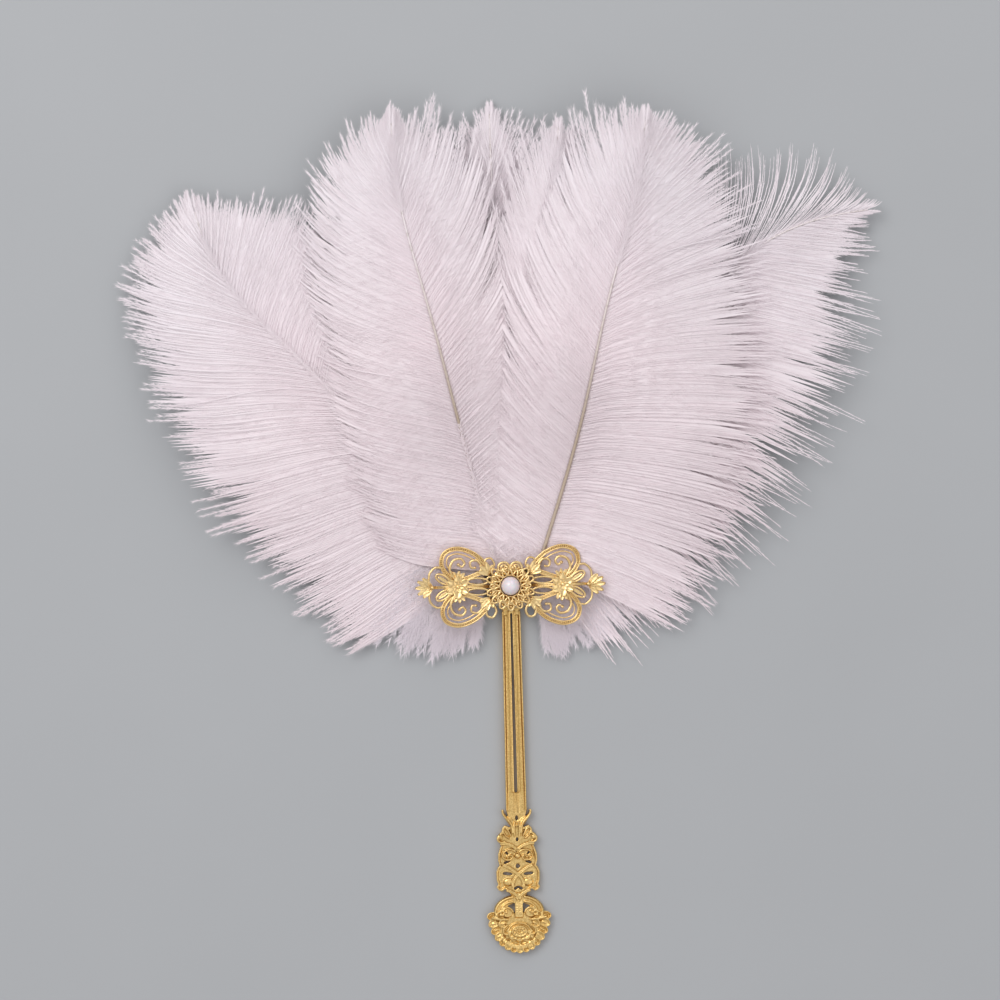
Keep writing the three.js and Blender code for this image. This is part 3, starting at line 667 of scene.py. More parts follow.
@dataclass
class Plume:
    """One ostrich plume: a shaft and the barbs on its two sides, with a downy foot on some."""

    name: str
    layer: int
    lower: bool
    quill_across: float
    length: float
    shaft_angles: tuple[float, ...]
    left: Barbs
    right: Barbs
    down: Barbs | None = None
    down_side: Side = Side.RIGHT
    covered: tuple[float, ...] = ()
    seed: int = 1
    lie: Lie = field(default_factory=Lie)

    RIDGE_HAIRS = 4200
    BARB_POINTS = 10
    CLEARANCE = 0.0003
    SUNK = 0.0012
    DOWN_ROOT = 0.013
    SOFT_ROOT = 0.017
    CROWN = 0.0006
    BARB_FLOOR = 0.0008
    HAIR_FLOOR = 0.0003
    WEB_SINK = 0.0003
    WEB_FREEDOM = 0.1
    THINNEST = 0.00003
    RIDGE_LENGTHS = (0.002, 0.0055)

    def __post_init__(self) -> None:
        """Traces the shaft and seeds the scatter."""
        self.shaft = Shaft(self.quill_across, self.length, self.shaft_angles)
        self.random = np.random.default_rng(self.seed)

    def paths(self, side: Side, barbs: Barbs, share: np.ndarray, steps: np.ndarray, first: float,
              last: float) -> np.ndarray:
        """Works out the flat run of each barb.

        Args:
            side: The side of the shaft.
            barbs: The barbs' tables.
            share: Each barb's share of the way up the vane.
            steps: Shares along each barb.
            first: Distance of the lowest barb from the quill's end.
            last: Distance of the highest barb.

        Returns:
            Places by barb and step, with two numbers each.
        """
        x, y, heading, radius = self.shaft.at(first + (last - first) * share)
        root = np.radians(along(barbs.root_angles, share))
        curl = np.radians(along(barbs.curl_angles, share))
        length = barbs.longest * along(barbs.length_shares, share)
        wave = np.radians(barbs.look.wave) * np.sin(share * 31.0 + self.seed) * 0.6
        wave = wave + np.radians(barbs.look.wave) * np.sin(share * 77.0 + 2.0 * self.seed) * 0.4
        lean = np.arctan2(np.sin(heading - root), np.cos(heading - root))
        angle = root[:, None] + curl[:, None] * steps + wave[:, None] * steps
        angle = angle + 0.45 * lean[:, None] * np.exp(-steps / 0.09)
        angle = angle + np.radians(barbs.flick) * ease(steps, 0.6, 0.4)
        step = np.diff(steps, axis=1, prepend=0.0)
        offset = side.value * (radius + self.CLEARANCE * 0.3)
        run = length[:, None] * step
        px = (x - offset * np.sin(heading))[:, None] + np.cumsum(run * np.cos(angle), axis=1)
        py = (y + offset * np.cos(heading))[:, None] + np.cumsum(run * np.sin(angle), axis=1)
        return np.stack([px, py], axis=2)

    def barb_points(self, side: Side, barbs: Barbs, first: float, last: float, count: int,
                    reach: float = 1.0, sink: float = 0.0, freedom: float = 1.0) -> np.ndarray:
        """Lays the barbs of a vane, gathered into pointed tufts, over the layer below.

        Args:
            side: The side of the shaft.
            barbs: The barbs' tables.
            first: Distance of the lowest barb from the quill's end.
            last: Distance of the highest barb.
            count: How many barbs there are.
            reach: The share of the barbs' length that they run.
            sink: How far they lie under the vane's top.
            freedom: How far they gather into tufts and stray.

        Returns:
            Points by barb and step.
        """
        look = barbs.look
        rng = self.random
        share = (np.arange(count) + rng.uniform(0.1, 0.9, count)) / count
        run = reach - (1.0 - reach) * (ease(share, 0.55, 0.35) + rng.uniform(0.0, 0.5, count))
        steps = run[:, None] * np.linspace(0.0, 1.0, self.BARB_POINTS)[None, :]
        flat = self.paths(side, barbs, share, steps, first, last)
        edges = np.cumsum(rng.integers(max(look.clump - 2, 1), look.clump + 3, count))
        group = np.searchsorted(edges, np.arange(count), side="right")
        groups = group.max() + 1
        centre = np.array([share[group == g].mean() for g in range(groups)])
        leader = self.paths(side, barbs, centre[group], steps, first, last)
        pull = np.clip(freedom * look.pull * rng.uniform(0.5, 1.3, groups)[group], 0.0, 0.95)
        gather = pull[:, None] * ease(steps, look.pull_from, 1.0 - look.pull_from)
        flat = flat + (leader - flat) * gather[:, :, None]
        turn = rng.normal(0.0, look.scatter, count) + rng.normal(0.0, 1.3 * look.scatter, groups)[group]
        turn = turn + (rng.random(count) < look.stray_share) * rng.normal(0.0, 5.0, count)
        turn = freedom * np.radians(turn)[:, None] * ease(steps, 0.0, 1.0)
        size = rng.uniform(0.87 - look.fray, 1.06, count) * rng.uniform(0.94, 1.05, groups)[group]
        run = (flat - flat[:, :1]) * size[:, None, None]
        x = flat[:, :1, 0] + run[:, :, 0] * np.cos(turn) - run[:, :, 1] * np.sin(turn)
        y = flat[:, :1, 1] + run[:, :, 0] * np.sin(turn) + run[:, :, 1] * np.cos(turn)
        gap = self.lie.gap(x, y)
        lift = rng.normal(0.0, 0.04, count)[:, None] + rng.normal(0.0, 0.06, groups)[group][:, None]
        lift = look.lift * freedom ** 2 * lift * ease(steps, 0.4, 0.6)
        steps = steps * size[:, None]
        bow = barbs.droop * (self.layer > 0) * along(barbs.length_shares, share) ** 1.3
        droop = bow[:, None] * ease(steps, 0.15, 0.85)
        crown = self.CROWN * (1.0 - share ** 2.0)[:, None] * np.sin(np.pi * np.clip(steps * 3.0, 0.0, 1.0))
        crown = crown - sink * (3.5 - 2.5 * ease(steps, 0.0, 0.35))
        phase = 2.0 * np.pi * share * (last - first) / look.ridge_pitch
        phase = phase + 2.0 * np.sin(19.0 * share + self.seed)
        ridge = look.ridge * freedom * np.sin(phase)[:, None] * ease(steps, 0.0, 0.08)
        ridge = ridge * (1.0 - 0.75 * ease(steps, 0.2, 0.35))
        z = self.lie.height(self.layer, self.lower, x, y) + gap * (lift - droop) + crown + ridge
        return np.stack([x, y, np.maximum(z, self.BARB_FLOOR)], axis=2)

    def hair_points(self, barbs: Barbs, points: np.ndarray) -> np.ndarray:
        """Sets fine barbules along the barbs.

        Args:
            barbs: The barbs' tables.
            points: The barbs' points.

        Returns:
            Two points for each barbule.
        """
        look = barbs.look
        rng = self.random
        count = look.hairs
        barb = rng.integers(0, len(points), count)
        share = rng.random(count) ** look.hair_bias * 0.985
        share = np.where(rng.random(count) < look.root_share, rng.uniform(0.0, 0.4, count), share)
        place = share * (self.BARB_POINTS - 1)
        i = place.astype(int)
        t = (place - i)[:, None]
        start = points[barb, i] * (1.0 - t) + points[barb, i + 1] * t
        run = points[barb, i + 1] - points[barb, i]
        heading = np.arctan2(run[:, 1], run[:, 0])
        near = 1.0 - ease(share, 0.1, 0.3)
        angle = look.hair_angle + (look.tip_angle - look.hair_angle) * ease(share, 0.55, 0.45)
        angle = angle * (1.0 - 0.5 * near)
        turn = np.radians(angle * rng.uniform(0.4, 1.25, count)) * rng.choice([-1.0, 1.0], count)
        length = look.hair_length * rng.uniform(0.55, 1.15, count) * (1.0 - look.hair_fade * share)
        length = length * (1.0 - 0.5 * near) * (1.0 - 0.5 * ease(barb / len(points), 0.75, 0.25))
        slope = run[:, 2] / np.maximum(np.hypot(run[:, 0], run[:, 1]), 1e-6)
        rise = slope + np.tan(np.radians(rng.normal(look.rise, look.rise_spread, count)))
        way = np.stack([np.cos(heading + turn), np.sin(heading + turn), rise], axis=1)
        end = start + way * length[:, None]
        end[:, 2] = np.maximum(end[:, 2], self.HAIR_FLOOR)
        return np.stack([start, end], axis=1)

    def ridge_points(self) -> np.ndarray:
        """Sets short barbules over the covered stretches of the shaft.

        Returns:
            Two points for each barbule.
        """
        rng = self.random
        spans = np.array(self.covered).reshape(-1, 2)
        count = int(self.RIDGE_HAIRS * np.sum(spans[:, 1] - spans[:, 0]))
        span = spans[rng.integers(0, len(spans), count)]
        share = span[:, 0] + (span[:, 1] - span[:, 0]) * rng.random(count)
        x, y, heading, radius = self.shaft.at(share * self.length)
        across = rng.uniform(-1.0, 1.0, count) * radius
        x, y = x - across * np.sin(heading), y + across * np.cos(heading)
        z = self.lie.height(self.layer, self.lower, x, y) + radius * rng.uniform(0.1, 0.8, count)
        start = np.stack([x, y, z], axis=1)
        turn = heading + np.radians(rng.uniform(8.0, 42.0, count)) * rng.choice([-1.0, 1.0], count)
        length = rng.uniform(*self.RIDGE_LENGTHS, count)
        rise = rng.uniform(-0.04, 0.06, count)
        way = np.stack([np.cos(turn), np.sin(turn), rise], axis=1)
        return np.stack([start, start + length[:, None] * way], axis=1)

    def vane_mesh(self, name: str, side: Side, barbs: Barbs, first: float, last: float) -> bpy.types.Mesh:
        """Makes one vane of webs, barbs and barbules.

        Args:
            name: The mesh's name.
            side: The side of the shaft.
            barbs: The barbs' tables.
            first: Distance of the lowest barb from the quill's end.
            last: Distance of the highest barb.

        Returns:
            The vane's mesh.
        """
        look = barbs.look
        share = np.linspace(0.0, 1.0, self.BARB_POINTS)
        webs = self.barb_points(
            side, barbs, first, last, look.webs, look.web_reach, self.WEB_SINK, self.WEB_FREEDOM,
        )
        web_taper = (0.5 + 0.5 * ease(share, 0.0, 0.3)) * (1.0 - share ** 3.0)
        narrow = 1.0 - 0.8 * ease(np.linspace(0.0, 1.0, len(webs)), 0.78, 0.22)
        web_widths = np.maximum(look.web_half_width * narrow[:, None] * web_taper[None, :], self.THINNEST)
        points = self.barb_points(side, barbs, first, last, look.barbs)
        taper = (0.5 + 0.5 * ease(share, 0.3, 0.3)) * (1.0 - share ** look.point)
        widths = np.maximum(look.half_width * taper, self.THINNEST)
        widths = widths[None, :] * self.random.uniform(0.8, 1.2, len(points))[:, None]
        hairs = self.hair_points(barbs, points)
        if side is Side.LEFT and self.covered and first == self.SOFT_ROOT:
            hairs = np.concatenate([hairs, self.ridge_points()])
        root = look.hair_radius * self.random.uniform(0.7, 1.3, len(hairs))
        radii = np.stack([root, np.zeros(len(hairs))], axis=1)
        tilt = look.web_tilt * side.value
        mesh = joined_mesh(name, [
            strand_mesh(f"{name}_webs", Section.WEB, list(webs), list(web_widths), tilt),
            strand_mesh(f"{name}_barbs", Section.BARB, list(points), list(widths)),
            strand_mesh(f"{name}_barbules", Section.HAIR, list(hairs), list(radii)),
        ])
        mesh.shade_flat()
        return mesh

    def build(self, feather: bpy.types.Material, fluff: bpy.types.Material, horn: bpy.types.Material) -> None:
        """Builds the shaft, both vanes and the down.

        Args:
            feather: The barbs' material.
            fluff: The down's material.
            horn: The shaft's material.
        """
        distance = np.linspace(0.0, self.length, 90)
        x, y, _, radius = self.shaft.at(distance)
        spans = np.array(self.covered).reshape(-1, 2)
        place = distance / self.length
        hidden = sum(
            ease(place, low - 0.03, 0.06) * (1.0 - ease(place, high - 0.03, 0.06)) for low, high in spans
        )
        z = self.lie.height(self.layer, self.lower, x, y) - self.SUNK * hidden
        line = np.stack([x, y, z], axis=1)
        shaft = strand_mesh(f"{self.name}_rachis", Section.WIRE, [line], [radius])
        shaft.shade_smooth()
        settle(f"{self.name}_rachis", f"{self.name}_shaft", shaft, horn)
        for side, barbs in ((Side.LEFT, self.left), (Side.RIGHT, self.right)):
            name = f"{self.name}_{side.name.lower()}"
            mesh = self.vane_mesh(f"{name}_barbs", side, barbs, self.SOFT_ROOT, self.length)
            settle(f"{name}_barbs", f"{name}_vane", mesh, feather)
        if self.down:
            name = f"{self.name}_fluff"
            mesh = self.vane_mesh(name, self.down_side, self.down, self.DOWN_ROOT, self.shaft.VANE_ROOT)
            settle(name, f"{self.name}_down", mesh, fluff)


FAR_LEFT = Plume(
    "far_left_plume", 1, True, -0.0034, 0.236, (124, 126, 131, 133, 105),
    left=Barbs(
        0.088, (0.78, 1, 0.98, 0.7, 0.14),
        (204, 188, 174, 158, 109), (18, 20, 12, 4, 0), WOOLLY, -12.0, 0.5,
    ),
    right=Barbs(0.066, (0.62, 0.9, 1, 0.85, 0.16), (70, 72, 70, 66, 101), (0, -6, -8, 4, 0), BLENDED),
    down=Barbs(0.062, (0.44, 0.62, 0.76, 0.88, 1), (262, 248, 236, 222, 208), (6, 8, 8, 10, 12), DOWNY),
    down_side=Side.LEFT, covered=(0.1, 0.42, 0.42, 0.95), seed=11,
)
LEFT = Plume(
    "left_plume", 3, False, -0.0029, 0.231, (101, 103, 103, 104, 91),
    left=Barbs(
        0.072, (0.8, 0.98, 1, 0.8, 0.14),
        (176, 171, 165, 150, 95), (-4, -8, -14, -18, -2), BLENDED, -14.0, 2.1,
    ),
    right=Barbs(
        0.069, (0.72, 0.9, 1, 0.92, 0.14),
        (20, 28, 38, 56, 87), (28, 36, 40, 22, 2), FRAYED, 0.0, 2.3,
    ),
    covered=(0.06, 0.38, 0.82, 0.97), seed=23,
)
MIDDLE = Plume(
    "middle_plume", 0, True, -0.0009, 0.231, (90, 90, 91, 92, 90),
    left=Barbs(0.062, (0.8, 0.98, 1, 0.84, 0.12), (156, 148, 136, 122, 93), (-8, -8, -10, -8, 0), HIDDEN),
    right=Barbs(0.062, (0.8, 0.98, 1, 0.84, 0.12), (24, 32, 44, 58, 87), (8, 8, 10, 8, 0), HIDDEN),
    covered=(0.05, 0.85), seed=37,
)
INNER_RIGHT = Plume(
    "inner_right_plume", 2, False, 0.002, 0.224, (83, 83, 83, 84, 84),
    left=Barbs(
        0.06, (0.8, 0.98, 1, 0.84, 0.1),
        (140, 132, 122, 110, 88), (-18, -18, -16, -8, 0), HIDDEN, 0.0, 1.2,
    ),
    right=Barbs(0.06, (0.8, 0.98, 1, 0.84, 0.1), (28, 38, 50, 64, 80), (16, 16, 14, 8, 0), HIDDEN, 0.0, 1.2),
    covered=(0.05, 0.97), seed=41,
)
FRONT_RIGHT = Plume(
    "front_right_plume", 4, False, 0.0069, 0.232, (71, 72, 77, 73, 84),
    left=Barbs(
        0.078, (0.76, 0.96, 1, 0.84, 0.1),
        (158, 150, 140, 124, 88), (-30, -38, -42, -26, 0), FRAYED, 0.0, 2.7,
    ),
    right=Barbs(
        0.088, (0.86, 1, 0.94, 0.7, 0.09),
        (-20, -4, 14, 43, 80), (-12, -14, -10, -2, 0), BLENDED, 0.0, 2.9,
    ),
    covered=(0.7, 0.97), seed=53,
)
FAR_RIGHT = Plume(
    "far_right_plume", 1, True, 0.0016, 0.26, (60, 60, 56, 36, 5),
    left=Barbs(0.075, (0.8, 0.95, 1, 0.76, 0.1), (116, 106, 88, 50, 14), (-24, -20, -8, 28, 18), SPARSE, 8.0),
    right=Barbs(0.095, (0.64, 0.94, 1, 0.6, 0.06), (-46, -28, -9, -9, -5), (-8, -13, -14, -2, 8), SPIKY),
    down=Barbs(0.051, (0.68, 0.8, 0.88, 0.94, 1), (-76, -69, -61, -53, -45), (0, -2, -4, -5, -6), TUFTED),
    down_side=Side.RIGHT, covered=(0.1, 0.8), seed=67,
)
PLUMES = (FAR_LEFT, LEFT, MIDDLE, INNER_RIGHT, FRONT_RIGHT, FAR_RIGHT)


MM = 0.001


class Mirror(Enum):
    """Copies of a shape over the fan's middle line and over the stem's line, as signs."""

    NONE = ((1.0, 1.0),)
    SIDES = ((1.0, 1.0), (-1.0, 1.0))
    ALL = ((1.0, 1.0), (-1.0, 1.0), (1.0, -1.0), (-1.0, -1.0))


def curved(points: tuple, count: int = 32, closed: bool = False) -> np.ndarray:
    """Smooth path through points.

    Args:
        points: The points.
        count: How many points the path gets.
        closed: Whether it returns to its first point.

    Returns:
        The path's points.
    """
    table = np.asarray(points, float)
    share = np.linspace(0.0, 1.0, count)
    if closed:
        table = np.concatenate([table[-1:], table, table[:2]])
        share = (1.0 + share * (len(table) - 3)) / (len(table) - 1)
    return np.stack([along(column, share) for column in table.T], axis=1)


def oval(centre: tuple, half: tuple, first: float = 0.0, last: float = 360.0, turn: float = 0.0,
         count: int = 40) -> np.ndarray:
    """Arc of an ellipse.

    Args:
        centre: Its middle.
        half: Its half sizes.
        first: The angle in degrees where it begins.
        last: The angle where it ends.
        turn: How far the ellipse is turned, in degrees.
        count: How many points it gets.

    Returns:
        The arc's points.
    """
    angle = np.radians(np.linspace(first, last, count))
    x, y = half[0] * np.cos(angle), half[1] * np.sin(angle)
    cos, sin = math.cos(math.radians(turn)), math.sin(math.radians(turn))
    return np.stack([centre[0] + x * cos - y * sin, centre[1] + x * sin + y * cos], axis=1)


def beside(path: np.ndarray, gap: float) -> np.ndarray:
    """Moves a flat path sideways.

    Args:
        path: The path.
        gap: How far it moves to its left.

    Returns:
        The moved path.
    """
    run = np.gradient(path, axis=0)
    normal = np.stack([-run[:, 1], run[:, 0]], axis=1)
    return path + gap * normal / np.maximum(np.hypot(run[:, 0], run[:, 1]), 1e-9)[:, None]


def spaced(path: np.ndarray, step: float) -> np.ndarray:
    """Places at even steps along a path.

    Args:
        path: The path.
        step: About how far they are apart.

    Returns:
        The places.
    """
    length = np.concatenate([[0.0], np.cumsum(np.hypot(*np.diff(path, axis=0).T))])
    count = max(int(round(length[-1] / step)), 1)
    at = np.linspace(0.0, length[-1], count + 1)[:-1]
    return np.stack([np.interp(at, length, column) for column in path.T], axis=1)


class Metalwork:
    """Collects the wires, bands, beads, petals and turned discs of a piece, all in millimetres."""

    PETAL_THICKNESS = 0.3

    def __init__(self, name: str) -> None:
        """Begins an empty piece.

        Args:
            name: The piece's name.
        """
        self.name = name
        self.strands: dict[Section, tuple[list, list]] = {}
        self.solids: list[bpy.types.Mesh] = []

    def wire(self, path: np.ndarray, radius: float, height: float, mirror: Mirror = Mirror.NONE,
             section: Section = Section.WIRE) -> None:
        """Adds a wire.

        Args:
            path: Its run in the plane of the fan.
            radius: Its radius, or one for each point.
            height: The height of its middle, or one for each point.
            mirror: The copies it gets.
            section: Its cross-section.
        """
        paths, radii = self.strands.setdefault(section, ([], []))
        for signs in mirror.value:
            paths.append(MM * np.column_stack([path * signs, np.broadcast_to(height, len(path))]))
            radii.append(MM * np.broadcast_to(radius, len(path)).astype(float))

    def add(self, bm: bmesh.types.BMesh) -> None:
        """Adds a closed solid.

        Args:
            bm: The solid in millimetres, which is freed.
        """
        bmesh.ops.remove_doubles(bm, verts=bm.verts, dist=1e-4)
        bmesh.ops.recalc_face_normals(bm, faces=bm.faces)
        bmesh.ops.scale(bm, verts=bm.verts, vec=(MM, MM, MM))
        mesh = bpy.data.meshes.new(f"{self.name}_solid")
        bm.to_mesh(mesh)
        bm.free()
        self.solids.append(mesh)

    def beads(self, places: np.ndarray | tuple, radius: float, height: float, mirror: Mirror = Mirror.NONE,
              stretch: tuple = (1.0, 1.0, 1.0), turn: float = 0.0) -> None:
        """Adds beads or domes.

        Args:
            places: Their middles, or the one middle.
            radius: Their radius.
            height: The height of their middles.
            mirror: The copies they get.
            stretch: Their stretch across, along and upwards.
            turn: How far they are turned, in degrees.
        """
        bm = bmesh.new()
        for signs in mirror.value:
            spin = Matrix.Rotation(math.radians(turn * signs[0] * signs[1]), 4, "Z")
            shape = spin @ Matrix.Diagonal((*stretch, 1.0))
            for x, y in np.atleast_2d(places) * signs:
                place = Matrix.Translation((x, y, height)) @ shape
                segments = 8 if radius < 1.0 else 20
                bmesh.ops.create_uvsphere(
                    bm, u_segments=segments, v_segments=segments // 2, radius=radius, matrix=place,
                )
        self.add(bm)

    def petal(self, foot: tuple, size: tuple, angle: float, height: float, lift: float, cup: float,
              mirror: Mirror) -> None:
        """Adds a cupped petal.

        Args:
            foot: Where it begins.
            size: Its length and width.
            angle: The way it points, in degrees.
            height: The height of its foot.
            lift: How far its tip rises.
            cup: How far its long edges rise.
            mirror: The copies it gets.
        """
        for across, upward in mirror.value:
            bm = bmesh.new()
            bmesh.ops.create_grid(bm, x_segments=8, y_segments=6, size=1.0)
            for vert in bm.verts:
                share, side = (vert.co.x + 1.0) / 2.0, vert.co.y
                half = size[1] / 2.0 * math.sin(math.pi * (0.08 + 0.86 * share)) ** 0.7
                vert.co = (size[0] * share, side * half, cup * side * side + lift * share * share)
            bmesh.ops.solidify(bm, geom=bm.faces[:], thickness=self.PETAL_THICKNESS)
            heading = math.radians(angle if across > 0.0 else 180.0 - angle) * upward
            place = Matrix.Translation((foot[0] * across, foot[1] * upward, height))
            bmesh.ops.transform(bm, matrix=place @ Matrix.Rotation(heading, 4, "Z"), verts=bm.verts)
            self.add(bm)

    def lathe(self, profile: tuple, steps: int = 96, scallops: int = 0, scallop: float = 0.0) -> None:
        """Adds a turned disc.

        Args:
            profile: Radius and height from the axis round to the axis.
            steps: How many steps the turn has.
            scallops: How many scallops its edge has.
            scallop: How far the edge dips between them.
        """
        bm = bmesh.new()
        corners = [bm.verts.new((radius, 0.0, height)) for radius, height in profile]
        edges = [bm.edges.new(pair) for pair in zip(corners, corners[1:])]
        bmesh.ops.spin(
            bm, geom=corners + edges, axis=(0.0, 0.0, 1.0), angle=math.tau, steps=steps, use_merge=True,
        )
        widest = max(radius for radius, _ in profile)
        for vert in bm.verts:
            reach = math.hypot(vert.co.x, vert.co.y)
            dip = scallop * abs(math.cos(scallops / 2.0 * math.atan2(vert.co.y, vert.co.x))) ** 0.6
            vert.co.xy *= 1.0 - (scallop - dip) / widest * (reach / widest) ** 3
        self.add(bm)

    def mesh(self) -> bpy.types.Mesh:
        """Returns everything as one mesh."""
        parts = [strand_mesh(self.name, section, *strands) for section, strands in self.strands.items()]
        return joined_mesh(self.name, parts + self.solids)

    def settle(self, node: str, finish: bpy.types.Material, slot: str) -> None:
        """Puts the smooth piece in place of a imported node.

        Args:
            node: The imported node's name.
            finish: The piece's material.
        """
        mesh = self.mesh()
        mesh.shade_smooth()
        settle(self.name, node, mesh, finish)


@dataclass(frozen=True)
class PearlFinish:
    """Lustrous white pearl with a lavender bloom, and a warm rim that is painted: reflected gold and shade at
    its foot.
    """

    body: tuple = (0.90, 0.79, 0.79)
    rim: tuple = (0.88, 0.68, 0.58)
    bloom: tuple = (0.82, 0.76, 0.84)
    foot: float = 0.0125
    crest: float = 0.0171
    clouds: float = 180.0
    grain: float = 500.0
    grain_depth: float = 0.00005

    def make(self, name: str) -> bpy.types.Material:
        """Makes the material.

        Args:
            name: The material's name.

        Returns:
            The material.
        """
        shader = Shader(name)
        height = shader.node("ShaderNodeSeparateXYZ", {"Vector": shader.place()}).outputs["Z"]
        share = shader.node("ShaderNodeMapRange", {
            "Value": height, "From Min": self.foot, "From Max": self.crest,
        }).outputs["Result"]
        # Painted reflection and shade: the dome is warmer and darker towards its foot, beside the gold cup.
        base = shader.ramp(share, [(0.0, self.rim), (0.45, self.body), (1.0, self.body)])
        shader.paint(shader.mix(shader.noise(self.clouds), base, self.bloom), {
            "Roughness": 0.22, "Coat Weight": 0.7, "Coat Roughness": 0.08, "Subsurface Weight": 0.15,
            "Subsurface Scale": 0.001,
        })
        shader.bump(shader.noise(self.grain), 0.05, self.grain_depth)
        return shader.material


@dataclass(frozen=True)
class ClothFinish:
    """Matt fibres: waxed thread or pressed felt."""

    light: tuple
    dark: tuple
    grain: float
    roughness: float = 0.85
    sheen: float = 0.3
    grain_depth: float = 0.0001

    def make(self, name: str) -> bpy.types.Material:
        """Makes the material.

        Args:
            name: The material's name.

        Returns:
            The material.
        """
        shader = Shader(name)
        fibres = shader.noise(self.grain, 5.0)
        colour = shader.mix(fibres, self.light, self.dark)
        shader.paint(colour, {"Roughness": self.roughness, "Sheen Weight": self.sheen})
        shader.bump(fibres, 0.5, self.grain_depth)
        return shader.material


